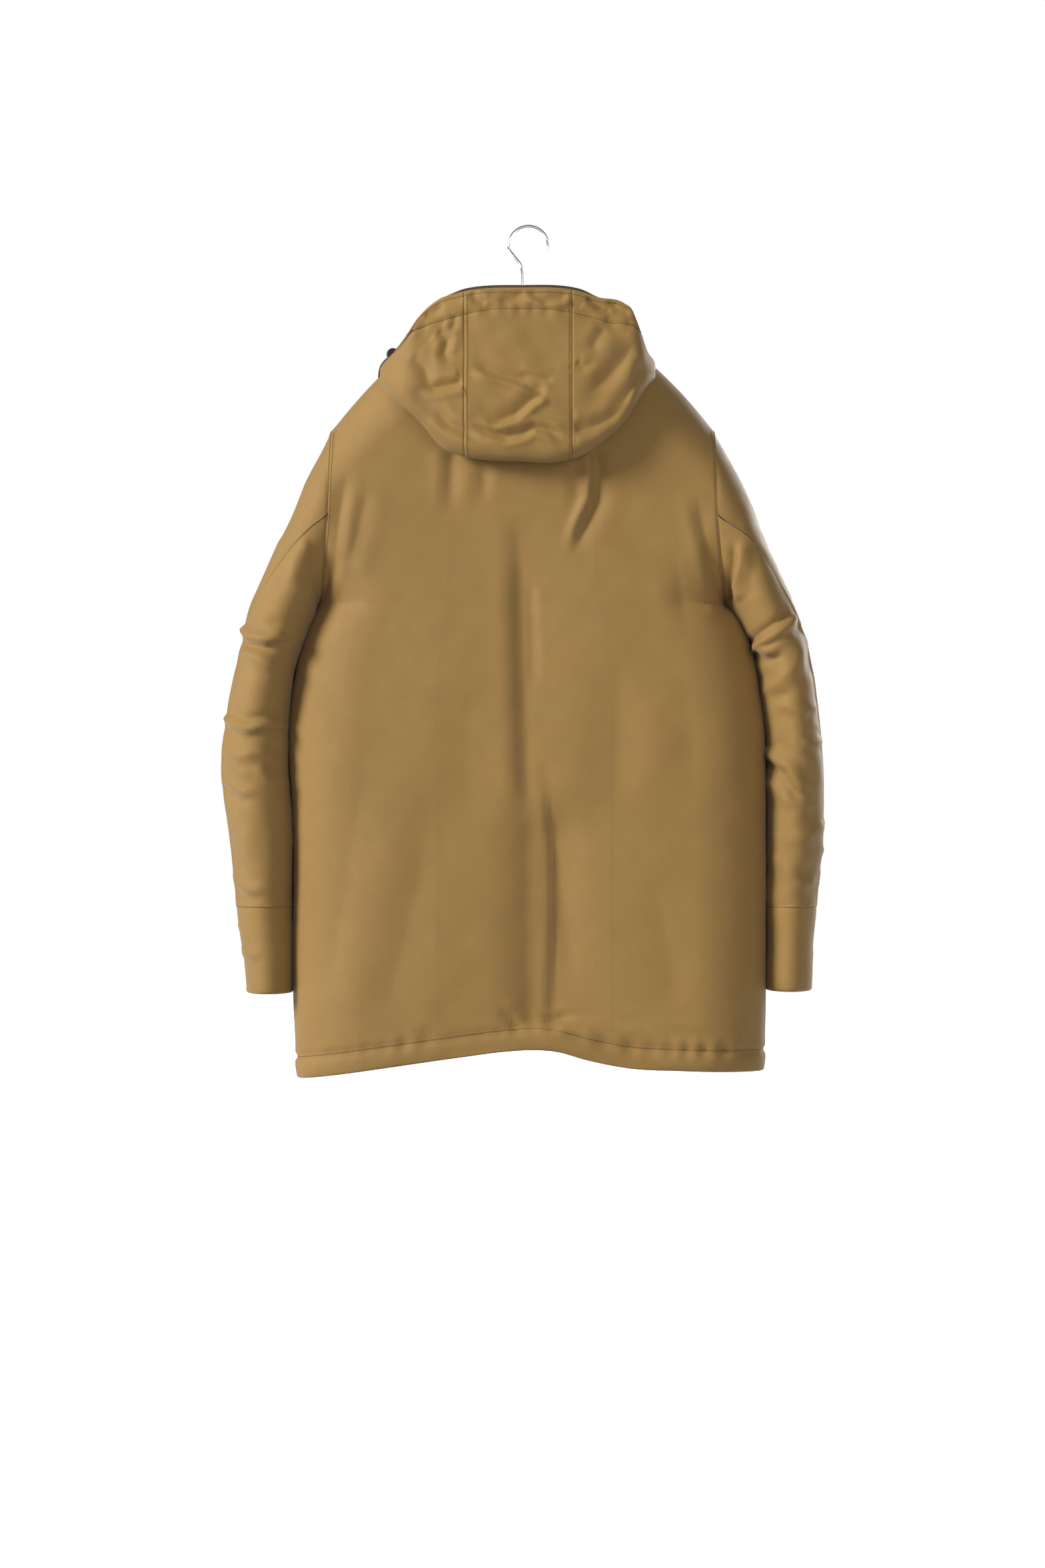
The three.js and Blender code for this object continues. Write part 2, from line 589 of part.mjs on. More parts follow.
// ---- the patch pockets and their flaps ----
const POCKET = { near: 62, far: 202, top: -662, bottom: -838, wall: 1.6, deep: 7.4 };
const POCKET_FLAP = { top: -642, bottom: -712, y0: 77.4, y1: 80 };
const POCKET_SNAP_Z = -694;
for (const [name, side] of SIDES) {
  const xs = (a, b) => (side < 0 ? [-b, -a] : [a, b]);
  const back = HALF_DEPTH + GAP;
  const front = back + POCKET.deep + POCKET.wall;
  const [p0, p1] = xs(POCKET.near, POCKET.far);
  const body = plate(p0, p1, POCKET.bottom, POCKET.top, back, front, 5);
  const hollow = box(
    [p0 + POCKET.wall, back - 1, POCKET.bottom + POCKET.wall],
    [p1 - POCKET.wall, back + POCKET.deep, POCKET.top + 1],
  );
  add(`${name}_pocket`, cut(body, hollow), looks.shell);
  const [f0, f1] = xs(POCKET.near - 4, POCKET.far + 4);
  add(
    `${name}_pocket_flap`,
    plate(f0, f1, POCKET_FLAP.bottom, POCKET_FLAP.top, POCKET_FLAP.y0, POCKET_FLAP.y1, 5),
    looks.shell,
  );
  add(
    `${name}_pocket_welt`,
    box([f0, back, POCKET_FLAP.top + GAP], [f1, POCKET_FLAP.y1, POCKET_FLAP.top + GAP + 6]),
    looks.shell,
  );
  const middle = side * (POCKET.near + POCKET.far) / 2;
  snapPair(`${name}_pocket_snap`, middle, POCKET_SNAP_Z, front, POCKET_FLAP.y0, POCKET_FLAP.y1);
}

// ---- the hood's drawcord ends, each with a sprung cord lock, lying over the shoulders ----
const CORD_RADIUS = 2;
const CORD_EXIT = vec(90, 6, -106.5);
const LOCK_AT = { "-1": vec(162, 6, -159), 1: vec(138, 6, -141.5) };
const LOCK_TRAVEL = 3;
// Past its lock, each cord goes over the shoulder and down the front.
const CORD_FALL = {
  "-1": [
    vec(171, 6.5, -165.6), vec(177, 13.5, -172.5), vec(180, 27, -184.5), vec(180, 37.5, -196),
    vec(181, 50.5, -210), vec(181.5, 60.5, -228), vec(182, 67, -250), vec(182, 69.7, -274),
  ],
  1: [
    vec(147, 6.5, -148.1), vec(152.5, 14, -155.5), vec(154.8, 27.5, -166.5), vec(155.5, 42.5, -178),
    vec(156.5, 53.5, -192), vec(157, 62.3, -210), vec(157.5, 68, -232), vec(157.5, 69.8, -256),
  ],
};

function cordLock() {
  const outer = turned([[0, -10.5], [6.5, -10.5], [8, -9], [8, 8], [7.4, 9], [0, 9]], 20);
  const cavity = turned([[0, -8.8], [6.5, -8.8], [6.5, 10], [0, 10]], 20);
  const hole = new THREE.CylinderGeometry(2.6, 2.6, 30, 12).rotateZ(Math.PI / 2);
  return cut(outer, cavity, hole);
}

function lockButton() {
  const stem = turned([[0, -5.4], [6.1, -5.4], [6.1, 12], [5.2, 13], [0, 13]], 20);
  const slot = plate(-15, 15, -2.6, 2.6, -2.6, 2.6 + LOCK_TRAVEL, 1);
  return cut(stem, slot);
}

for (const [name, side] of SIDES) {
  const lock = new THREE.Group();
  lock.position.set(side * LOCK_AT[side].x, LOCK_AT[side].y, LOCK_AT[side].z);
  const along = LOCK_AT[side].clone().sub(CORD_EXIT);
  lock.rotation.y = side * Math.atan2(-along.z, along.x);
  coat.add(lock);
  add(`${name}_cord_lock`, cordLock(), looks.plastic, lock);
  add(`${name}_lock_button`, lockButton(), looks.plastic, lock);
  const straight = [0, 0.33, 0.67, 1].map((share) => CORD_EXIT.clone().lerp(LOCK_AT[side], share));
  const route = [...straight, ...CORD_FALL[side]].map((p) => vec(side * p.x, p.y, p.z));
  const cord = wire(new THREE.CatmullRomCurve3(route, false, "centripetal"), 28, CORD_RADIUS, 4);
  add(`${name}_drawcord`, cord, looks.cord);
}

// ---- the hanger ----
add("hanger_bar", hangerBar(), looks.wood);
add("hanger_hook", hangerHook(), looks.chrome);
add("hanger_ferrule", hangerFerrule(), looks.chrome);

export default coat;
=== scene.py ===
import bmesh
import bpy
import numpy as np
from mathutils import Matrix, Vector


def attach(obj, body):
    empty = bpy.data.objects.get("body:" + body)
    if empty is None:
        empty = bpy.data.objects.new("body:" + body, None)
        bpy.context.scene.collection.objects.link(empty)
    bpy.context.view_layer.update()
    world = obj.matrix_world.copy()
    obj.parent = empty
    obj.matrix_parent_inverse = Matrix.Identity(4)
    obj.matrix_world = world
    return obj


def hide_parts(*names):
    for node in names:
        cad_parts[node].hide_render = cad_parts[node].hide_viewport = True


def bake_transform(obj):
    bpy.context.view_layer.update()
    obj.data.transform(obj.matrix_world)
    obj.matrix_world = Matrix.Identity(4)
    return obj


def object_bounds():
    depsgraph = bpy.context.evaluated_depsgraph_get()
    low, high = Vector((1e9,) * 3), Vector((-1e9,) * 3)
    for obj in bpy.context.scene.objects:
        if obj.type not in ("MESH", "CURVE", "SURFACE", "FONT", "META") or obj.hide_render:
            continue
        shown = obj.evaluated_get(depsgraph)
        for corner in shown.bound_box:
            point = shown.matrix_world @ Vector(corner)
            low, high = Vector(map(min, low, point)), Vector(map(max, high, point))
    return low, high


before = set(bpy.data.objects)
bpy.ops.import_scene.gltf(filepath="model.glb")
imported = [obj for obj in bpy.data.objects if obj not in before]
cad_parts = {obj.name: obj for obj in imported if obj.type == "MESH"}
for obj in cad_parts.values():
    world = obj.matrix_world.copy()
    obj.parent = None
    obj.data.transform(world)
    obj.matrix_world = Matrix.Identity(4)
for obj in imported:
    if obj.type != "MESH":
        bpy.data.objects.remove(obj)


def plain_bounds():
    return [[float(value) for value in corner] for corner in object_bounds()]


CAD_BOX = plain_bounds()

# ---- driving dimensions, as in the CAD ----
MM = 0.001  # the tables below are in millimetres
GAP = 0.3 * MM  # what the CAD leaves between hard parts that meet
SHELL_THICK = 1.2 * MM
LINING_INSET = 13.2 * MM
HALF_DEPTH = 66 * MM
ROUNDING = 90 * MM
NECK_HALF = 88 * MM
SHOULDER_HALF = 239 * MM
SHOULDER_TOP = -100 * MM
SHOULDER_DROP = 2.72  # the shoulder line's fall, per metre squared
UNDERARM = -472 * MM
ZIP_HALF = 15 * MM
PITCH = 3.5 * MM  # the size of the body's mesh cells
SMALL_PITCH = 3.4 * MM  # and of the sleeves' and the collar's
HOOD_PITCH = 2.2 * MM
SIDES = (("left", -1), ("right", 1))


# ---- small helpers ----
def smooth(low, high, value):
    share = np.clip((value - low) / (high - low), 0, 1)
    return share * share * (3 - 2 * share)


def mix(first, second, share):
    return first + (second - first) * share


def curved_table(pairs, at):
    """The value at each place from pairs of (place, value), on a smooth curve through them."""
    rows = np.array(pairs, float)
    places, values = rows[:, 0], rows[:, 1]
    slopes = np.gradient(values, places)
    i = np.clip(np.searchsorted(places, at, side="right") - 1, 0, len(places) - 2)
    wide = places[i + 1] - places[i]
    share = np.clip((at - places[i]) / wide, 0, 1)
    past = at - (places[i] + share * wide)
    square = share * share
    cube = square * share
    bend = (cube - 2 * square + share) * slopes[i] + (cube - square) * slopes[i + 1]
    between = (2 * cube - 3 * square + 1) * values[i] + (3 * square - 2 * cube) * values[i + 1]
    return between + wide * bend + past * mix(slopes[i], slopes[i + 1], share)


def ripple(points, size, seed):
    """A smooth random field from about -1 to 1, with bumps about that size."""
    source = np.random.default_rng(seed)
    total = np.zeros(points.shape[:-1])
    waves = 9
    for _ in range(waves):
        way = source.normal(size=3)
        way *= source.uniform(0.7, 1.4) * np.pi / size / np.linalg.norm(way)
        total += np.sin(points @ way + source.uniform(0, 2 * np.pi))
    return total / np.sqrt(waves)


def steps(length, pitch=PITCH, edges=(True, True)):
    """Places from 0 to 1 about a pitch apart, closer together at the edges that are sewn."""
    places = set(np.round(np.linspace(0, 1, max(2, round(length / pitch) + 1)), 6))
    for near in (0.8 * MM, 1.8 * MM, 3 * MM):
        if edges[0]:
            places.add(round(near / length, 6))
        if edges[1]:
            places.add(round(1 - near / length, 6))
    return np.array(sorted(places))


# ---- the camera, level with the middle of the coat and straight behind its back ----
CAMERA_AWAY = 4.5
CAMERA_HEIGHT = -0.696
CAMERA_LENS = 82.6
camera = bpy.data.objects.new("camera", bpy.data.cameras.new("camera"))
bpy.context.scene.collection.objects.link(camera)
camera.location = (0, -CAMERA_AWAY, CAMERA_HEIGHT)
camera.rotation_euler = (np.pi / 2, 0, 0)
camera.data.sensor_width = 36
camera.data.lens = CAMERA_LENS
bpy.context.scene.camera = camera


# ---- materials ----
class Look:
    """A node material, with its Principled shader and short ways to make nodes."""

    def __init__(self, name, color, roughness, **values):
        self.material = bpy.data.materials.new(name)
        self.material.use_nodes = True
        self.tree = self.material.node_tree
        self.shader = self.tree.nodes["Principled BSDF"]
        self.color = color
        self.shader.inputs["Roughness"].default_value = roughness
        self.shader.inputs["Base Color"].default_value = (*color, 1)
        for socket, value in values.items():
            self.shader.inputs[socket.replace("_", " ")].default_value = value
        self.height = None
        self.place = self.node("ShaderNodeTexCoord").outputs["Object"]

    def node(self, kind, links=(), **settings):
        made = self.tree.nodes.new(kind)
        for name, value in settings.items():
            setattr(made, name, value)
        for socket, value in dict(links).items():
            if isinstance(value, bpy.types.NodeSocket):
                self.tree.links.new(value, made.inputs[socket])
            else:
                made.inputs[socket].default_value = value
        return made

    def noise(self, scale, detail=2.0, place=None):
        links = {"Vector": place or self.place, "Scale": scale, "Detail": detail}
        return self.node("ShaderNodeTexNoise", links).outputs["Fac"]

    def math(self, operation, first, second):
        return self.node("ShaderNodeMath", {0: first, 1: second}, operation=operation).outputs[0]

    def ramp(self, factor, low, high, start=0.3, end=0.7):
        """A blend from the low to the high colour as factor goes from start to end."""
        made = self.node("ShaderNodeValToRGB", {"Fac": factor})
        first, last = made.color_ramp.elements
        first.position, first.color = start, (*low, 1)
        last.position, last.color = end, (*high, 1)
        return made.outputs["Color"]

    def paint(self, color):
        self.tree.links.new(color, self.shader.inputs["Base Color"])

    def roughen(self, factor, low, high):
        links = {"Value": factor, "From Min": 0.3, "From Max": 0.7, "To Min": low, "To Max": high}
        spread = self.node("ShaderNodeMapRange", links).outputs["Result"]
        self.tree.links.new(spread, self.shader.inputs["Roughness"])

    def bump(self, height, distance, strength=1.0):
        links = {"Height": height, "Distance": distance, "Strength": strength}
        made = self.node("ShaderNodeBump", links)
        if self.height is not None:
            self.tree.links.new(self.height, made.inputs["Normal"])
        self.height = made.outputs["Normal"]
        self.tree.links.new(self.height, self.shader.inputs["Normal"])


def srgb(red, green, blue):
    """A linear colour from its everyday 0 to 255 values."""
    shares = np.array((red, green, blue)) / 255
    linear = np.where(shares <= 0.04045, shares / 12.92, ((shares + 0.055) / 1.055) ** 2.4)
    return tuple(float(value) for value in linear)


def scaled(color, factor):
    return tuple(value * factor for value in color)


def woven(name, color, thread, relief, roughness=0.6, sheen=0.2, uneven=0.05):
    """Cloth with a fine plain weave, slubs along its threads, and slight unevenness of dye."""
    look = Look(name, color, roughness, Sheen_Weight=sheen, Sheen_Roughness=0.45)
    look.shader.inputs["Specular IOR Level"].default_value = 0.35
    cloth = look.node("ShaderNodeUVMap", uv_map="cloth").outputs["UV"]
    threads = []
    for direction in ("X", "Y"):
        links = {"Vector": cloth, "Scale": 0.314 / thread, "Distortion": 0.6, "Detail": 1.0}
        wave = look.node("ShaderNodeTexWave", links, bands_direction=direction)
        threads.append(wave.outputs["Fac"])
    weave = look.math("MULTIPLY", *threads)
    slub = look.noise(1 / (14 * thread), 3.0, cloth)
    dye = look.noise(16, 4.0)
    mottle = look.noise(620, 3.0)
    tone = look.math("ADD", look.math("MULTIPLY", dye, 0.6), look.math("MULTIPLY", mottle, 0.4))
    base = look.ramp(tone, scaled(color, 1 - uneven), scaled(color, 1 + uneven), 0.35, 0.65)
    valley = look.ramp(weave, (0.86, 0.86, 0.86), (1.04, 1.04, 1.04), 0.0, 0.5)
    links = {"Factor": 1.0, 6: base, 7: valley}
    shaded = look.node("ShaderNodeMix", links, data_type="RGBA", blend_type="MULTIPLY")
    look.paint(shaded.outputs[2])
    look.roughen(look.noise(60, 2.0), roughness - 0.05, roughness + 0.06)
    look.bump(look.noise(320, 3.0), 0.5 * MM, 0.34)
    look.bump(slub, relief, 0.4)
    look.bump(weave, relief, 0.7)
    return look.material


def plain(name, color, roughness, tones, rubbed, bumps, **values):
    """A surface of one colour with patches of tone, uneven polish and fine bumps.

    tones is a noise and the darkest and lightest share of the colour, rubbed a noise and how far
    the roughness goes down and up, and bumps a noise, the bumps' height and their strength.
    """
    look = Look(name, color, roughness, **values)
    noise, dark, pale = tones
    look.paint(look.ramp(look.noise(*noise), scaled(color, dark), scaled(color, pale)))
    if rubbed:
        noise, less, more = rubbed
        look.roughen(look.noise(*noise), roughness - less, roughness + more)
    noise, distance, strength = bumps
    look.bump(look.noise(*noise), distance, strength)
    return look.material


def metal(name, color, roughness):
    return plain(name, color, roughness, ((180, 4.0), 0.88, 1.05), ((420, 3.0), 0.04, 0.08),
                 ((900, 2.0), 0.03 * MM, 0.25), Metallic=1.0)


def moulded(name, color, roughness):
    return plain(name, color, roughness, ((220, 3.0), 0.85, 1.25), ((300, 2.0), 0.06, 0.08),
                 ((2200, 2.0), 0.04 * MM, 0.4))


def down_fill(name, color):
    return plain(name, color, 0.95, ((90, 6.0), 0.8, 1.05), None, ((160, 6.0), 1.5 * MM, 0.8),
                 Sheen_Weight=0.4)


def timber(name, color):
    """Lacquered wood with its grain along X."""
    look = Look(name, color, 0.32, Coat_Weight=0.35, Coat_Roughness=0.15)
    stretched = look.node("ShaderNodeMapping", {"Vector": look.place, "Scale": (3, 60, 60)})
    grain = look.noise(1.6, 6.0, stretched.outputs["Vector"])
    look.paint(look.ramp(grain, scaled(color, 0.5), scaled(color, 1.25), 0.35, 0.65))
    look.roughen(grain, 0.28, 0.42)
    look.bump(grain, 0.15 * MM, 0.3)
    return look.material


def braided(name, color):
    """A round cord's diagonal braid."""
    look = Look(name, color, 0.8, Sheen_Weight=0.3)
    strands = []
    for turn in (0.8, -0.8):
        links = {"Vector": look.place, "Rotation": (turn, 0, turn)}
        turned = look.node("ShaderNodeMapping", links).outputs["Vector"]
        wave = look.node("ShaderNodeTexWave", {"Vector": turned, "Scale": 340, "Distortion": 0.4})
        strands.append(wave.outputs["Fac"])
    braid = look.math("MAXIMUM", *strands)
    look.paint(look.ramp(braid, scaled(color, 0.5), scaled(color, 1.3), 0.2, 0.9))
    look.bump(braid, 0.3 * MM, 0.8)
    return look.material


KHAKI = srgb(153, 118, 58)
LOOKS = {
    "shell_fabric": woven("shell_cloth", KHAKI, 0.45 * MM, 0.12 * MM),
    # painted shade: the lining's colour is the shell's khaki darkened to the shade that the same cloth
    # shows inside the collar and the hood
    "lining_fabric": woven("lining_cloth", srgb(70, 54, 32), 0.3 * MM, 0.06 * MM, 0.5, 0.1),
    "insulation": down_fill("padding_fill", srgb(226, 222, 210)),
    "zip_tape": woven("zip_tape_cloth", srgb(88, 68, 40), 0.5 * MM, 0.15 * MM, 0.8),
    "zip_metal": metal("zip_brass", srgb(150, 118, 70), 0.32),
    "snap_metal": metal("snap_brass", srgb(128, 102, 66), 0.3),
    "cord": braided("cord_braid", srgb(58, 46, 32)),
    "lock_plastic": moulded("lock_plastic", srgb(38, 31, 24), 0.42),
    "bar_wood": timber("bar_wood", srgb(150, 104, 58)),
    "hook_chrome": metal("hook_chrome", srgb(214, 214, 216), 0.12),
}
THREAD = woven("stitch_thread", srgb(92, 62, 30), 0.25 * MM, 0.05 * MM, 0.55, 0.3)


# ---- making pieces ----
def finish_piece(piece, slot, body, *nodes):
    """Gives a piece its slot's material, the body it rides on and the CAD nodes it stands for."""
    piece.data.materials.append(LOOKS[slot])
    if body:
        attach(piece, body)
    if nodes:
        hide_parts(*nodes)
    return piece


def padded_piece(piece, body, node, slot="shell_fabric"):
    finish_piece(piece, slot, body, node)


def mesh_piece(name, points, faces, uvs=None, flat=False):
    mesh = bpy.data.meshes.new(name)
    mesh.from_pydata(np.asarray(points).reshape(-1, 3).tolist(), [], faces)
    if uvs is not None:
        layer = mesh.uv_layers.new(name="cloth")
        corner = np.empty(len(mesh.loops), dtype=np.int64)
        mesh.loops.foreach_get("vertex_index", corner)
        layer.data.foreach_set("uv", np.asarray(uvs)[corner].ravel())
    mesh.polygons.foreach_set("use_smooth", [not flat] * len(mesh.polygons))
    piece = bpy.data.objects.new(name, mesh)
    bpy.context.scene.collection.objects.link(piece)
    return piece


def right_way_out(piece):
    """Turns a closed mesh's faces so that they all point out."""
    mesh = bmesh.new()
    mesh.from_mesh(piece.data)
    bmesh.ops.recalc_face_normals(mesh, faces=mesh.faces)
    mesh.to_mesh(piece.data)
    mesh.free()


def quads(rows, columns, first=0, wrap=False):
    """The faces of a grid of points, in rows."""
    across = columns if wrap else columns - 1
    j, i = np.meshgrid(np.arange(rows - 1), np.arange(across), indexing="ij")
    after = (i + 1) % columns
    corners = [j * columns + i, j * columns + after, (j + 1) * columns + after,
               (j + 1) * columns + i]
    return (np.stack(corners, -1).reshape(-1, 4) + first).tolist()


def lathe(name, profile, centre, caps=True):
    """A round piece turned about Y, from a profile of (radius, y) in millimetres."""
    segments = 48
    angles = np.arange(segments) / segments * 2 * np.pi
    rings = [
        np.stack([r * np.cos(angles), np.full(segments, y), r * np.sin(angles)], -1)
        for r, y in profile
    ]
    points = np.concatenate(rings) * MM + np.array(centre)
    faces = quads(len(profile), segments, 0, True)
    if caps:
        faces.append(list(range(segments - 1, -1, -1)))
        faces.append(list(range(len(points) - segments, len(points))))
    piece = mesh_piece(name, points, faces)
    right_way_out(piece)
    bevel = piece.modifiers.new("bevel", "BEVEL")
    bevel.width = 0.25 * MM
    bevel.segments = 2
    bevel.limit_method = "ANGLE"
    return piece


def tube(name, route, radius):
    """A round wire or cord along a route, as a curve of one open spline."""
    curve = bpy.data.curves.new(name, "CURVE")
    curve.dimensions = "3D"
    spline = curve.splines.new("POLY")
    spline.points.add(len(route) - 1)
    for point, place in zip(spline.points, route):
        point.co = (*place, 1)
    curve.bevel_depth = radius
    curve.bevel_resolution = 5
    curve.use_fill_caps = True
    spline.use_smooth = True
    piece = bpy.data.objects.new(name, curve)
    bpy.context.scene.collection.objects.link(piece)
    return piece


def through(points, per_stretch=8):
    """A smooth route through the points, like the CAD's centripetal Catmull-Rom curve."""
    points = np.array(points, float)
    ends = np.concatenate([[2 * points[0] - points[1]], points, [2 * points[-1] - points[-2]]])
    route = []
    for stretch in zip(ends, ends[1:], ends[2:], ends[3:]):
        gaps = np.linalg.norm(np.diff(stretch, axis=0), axis=-1) ** 0.5
        knots = np.concatenate([[0], np.cumsum(gaps)])
        for t in np.linspace(knots[1], knots[2], per_stretch, endpoint=False):
            level = stretch
            for step in (1, 2):
                level = [
                    ((knots[i + step] - t) * p + (t - knots[i]) * q) / (knots[i + step] - knots[i])
                    for i, (p, q) in enumerate(zip(level, level[1:]))
                ]
            share = (t - knots[1]) / (knots[2] - knots[1])
            route.append(mix(level[0], level[1], share))
    return np.array(route + [points[-1]])


class Cloth:
    """The outer face of a piece of cloth: rows of points from the top down, columns across it.

    turned says which way its rows and columns face, and wrap that the last column meets the first.
    """

    def __init__(self, points, across, down, turned=1, wrap=False):
        self.points = points
        self.across = across
        self.down = down
        self.turned = turned
        self.wrap = wrap

    def normals(self):
        around = self.points
        if self.wrap:
            around = np.concatenate([around[:, -1:], around, around[:, :1]], axis=1)
        over = np.gradient(around, axis=1)
        if self.wrap:
            over = over[:, 1:-1]
        under = np.gradient(self.points, axis=0)
        facing = np.cross(over, under) * self.turned
        return facing / np.maximum(np.linalg.norm(facing, axis=-1, keepdims=True), 1e-12)

    def push(self, field):
        """Moves each point out along the cloth's normal."""
        self.points = self.points + self.normals() * np.asarray(field)[..., None]
        return self

    def lengths(self):
        """Each point's distance along its row, and down its column."""
        over = np.linalg.norm(np.diff(self.points, axis=1), axis=-1)
        under = np.linalg.norm(np.diff(self.points, axis=0), axis=-1)
        over = np.concatenate([np.zeros((over.shape[0], 1)), np.cumsum(over, axis=1)], axis=1)
        under = np.concatenate([np.zeros((1, under.shape[1])), np.cumsum(under, axis=0)])
        return over, under

    def area(self):
        closed = self.points
        if self.wrap:
            closed = np.concatenate([closed, closed[:, :1]], axis=1)
        over = np.diff(closed, axis=1)[:-1]
        under = np.diff(closed, axis=0)[:, :-1]
        return float(np.linalg.norm(np.cross(over, under), axis=-1).sum())

    def edge_roll(self, ends=(True, True), depth=1.1 * MM, wide=1.6 * MM):
        """A field that turns the sewn edges under, so that a seam shows as a groove."""
        over, under = self.lengths()
        field = np.zeros(over.shape)
        if not self.wrap:
            field += np.exp(-((over / wide) ** 2)) + np.exp(-(((over[:, -1:] - over) / wide) ** 2))
        if ends[0]:
            field += np.exp(-((under / wide) ** 2))
        if ends[1]:
            field += np.exp(-(((under[-1:] - under) / wide) ** 2))
        return -depth * np.minimum(field, 1)

    def trace(self, across, down):
        """Points and normals at places across and down, each from 0 to 1."""
        i = np.interp(across, self.across, np.arange(len(self.across)))
        j = np.interp(down, self.down, np.arange(len(self.down)))
        columns = self.points.shape[1]
        i0, j0 = np.floor(i).astype(int), np.minimum(np.floor(j).astype(int), len(self.down) - 2)
        i0 = i0 if self.wrap else np.minimum(i0, columns - 2)
        s, t = (i - i0)[:, None], (j - j0)[:, None]
        i0, i1 = i0 % columns, (i0 + 1) % columns

        def at(grid):
            upper = mix(grid[j0, i0], grid[j0, i1], s)
            return mix(upper, mix(grid[j0 + 1, i0], grid[j0 + 1, i1], s), t)

        return at(self.points), at(self.normals())

    def down_at(self, across, height):
        """How far down, from 0 to 1, the cloth is at each height, for each place across."""
        i = np.interp(across, self.across, np.arange(len(self.across)))
        found = []
        for place, z in zip(np.round(i).astype(int) % self.points.shape[1], height):
            column = self.points[:, place, 2]
            last = int(np.argmin(column)) + 1
            found.append(np.interp(-z, -column[:last], self.down[:last]))
        return np.array(found)

    def piece(self, name, thick, inner=None):
        """A closed mesh between the outer face and an inner one, or one of the given thickness."""
        outer = self.points
        if inner is None:
            inner = outer - self.normals() * thick
        rows, columns = outer.shape[:2]
        count = rows * columns
        front = quads(rows, columns, 0, self.wrap)
        back = [face[::-1] for face in quads(rows, columns, count, self.wrap)]
        place = np.arange(count).reshape(rows, columns)
        if self.wrap:
            place = np.concatenate([place, place[:, :1]], axis=1)
        edges = [place[0, ::-1], place[-1]]
        if not self.wrap:
            edges += [place[:, 0], place[::-1, -1]]
        rims = [[p, q, count + q, count + p]
                for edge in edges for p, q in zip(edge.tolist(), edge[1:].tolist())]
        faces = front + back + rims
        if self.turned < 0:
            faces = [face[::-1] for face in faces]
        over, under = self.lengths()
        flat = np.stack([over + self.points[:1, :1, 0], under], -1).reshape(-1, 2)
        points = np.concatenate([outer.reshape(-1, 3), inner.reshape(-1, 3)])
        return mesh_piece(name, points, faces, np.concatenate([flat, flat]))


def press(points, route, depth, wide, lip=0.5, fade=(0.2, 0.2), lean=0.0):
    """A fold pressed into cloth along a route of (x, z) in millimetres, as a field to push by.

    It has a valley depth deep between two lips. For a route that goes down the coat's back, a lean
    above 0 makes the wearer's right side wider and softer, and the left side steeper.
    """
    route = np.array(route, float) * MM
    place = points[..., (0, 2)]
    stretch = np.diff(route, axis=0)
    long = np.linalg.norm(stretch, axis=-1)
    before = np.concatenate([[0], np.cumsum(long)])
    best = np.full(place.shape[:-1], np.inf)
    along = np.zeros_like(best)
    side = np.ones_like(best)
    for k, way in enumerate(stretch):
        off = place - route[k]
        share = np.clip(off @ way / long[k] ** 2, 0, 1)
        miss = off - share[..., None] * way
        far = np.linalg.norm(miss, axis=-1)
        nearer = far < best
        best = np.where(nearer, far, best)
        along = np.where(nearer, (before[k] + share * long[k]) / before[-1], along)
        side = np.where(nearer, np.sign(way[0] * off[..., 1] - way[1] * off[..., 0]), side)
    wide = wide * MM * (1 + 0.6 * lean * side)
    strength = smooth(0, fade[0], along) * smooth(0, fade[1], 1 - along)
    valley = -np.exp(-((best / wide) ** 1.45))
    rise = lip * np.exp(-(((best - 2.1 * wide) / (1.2 * wide)) ** 2)) * (1 - lean * side)
    return depth * MM * strength * (valley + rise)


def folded(points, folds):
    """All of a table's folds, whose rows hold what press takes after its points."""
    return sum(press(points, *fold) for fold in folds)


# ---- stitches: small sewn lengths of thread on the finished cloth ----
STITCH_PITCH = 3.3 * MM
STITCH_LONG = 2.5 * MM
THREAD_RADIUS = 0.5 * MM
sewn = {}  # the stitch rows of each piece of stitching, as points, tangents and normals


def sew(group, points, normals):
    """Adds a row of stitches along points on the cloth, to that group's piece."""
    ahead = np.concatenate([[0], np.cumsum(np.linalg.norm(np.diff(points, axis=0), axis=-1))])
    count = max(2, int(ahead[-1] / STITCH_PITCH))
    marks = (np.arange(count) + 0.5) / count * ahead[-1]

    def at(values, places):
        return np.stack([np.interp(places, ahead, values[:, axis]) for axis in range(3)], -1)

    centre = at(points, marks)
    tangent = at(points, marks + STITCH_LONG / 2) - at(points, marks - STITCH_LONG / 2)
    tangent /= np.maximum(np.linalg.norm(tangent, axis=-1, keepdims=True), 1e-9)
    normal = at(normals, marks)
    normal /= np.maximum(np.linalg.norm(normal, axis=-1, keepdims=True), 1e-9)
    sewn.setdefault(group, []).append((centre, tangent, normal))


# A stitch's rings of four points: how far along it, how thick there, and how far it is lifted.
STITCH_RINGS = ((-0.5, 0.45, -0.7), (-0.28, 0.95, 0.35), (0.28, 0.95, 0.35), (0.5, 0.45, -0.7))


def stitching(group, body):
    """One piece with all of a group's stitches."""
    centre, tangent, normal = (np.concatenate(part) for part in zip(*sewn[group]))
    across = np.cross(tangent, normal)
    rings = []
    for along, thick, lift in STITCH_RINGS:
        middle = centre + tangent * along * STITCH_LONG + normal * lift * THREAD_RADIUS
        for over, up in ((1, 0), (0, 1), (-1, 0), (0, -1)):
            rings.append(middle + (across * over + normal * up) * thick * THREAD_RADIUS)
    points = np.stack(rings, 1)
    size = len(rings)
    shape = quads(len(STITCH_RINGS), 4, 0, True) + [[3, 2, 1, 0], [12, 13, 14, 15]]
    faces = (np.arange(len(centre))[:, None, None] * size + np.array(shape)).reshape(-1, 4)
    uvs = np.zeros((len(centre) * size, 2))
    piece = mesh_piece(group, points, faces.tolist(), uvs)
    piece.data.materials.append(THREAD)
    if body:
        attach(piece, body)
    return piece


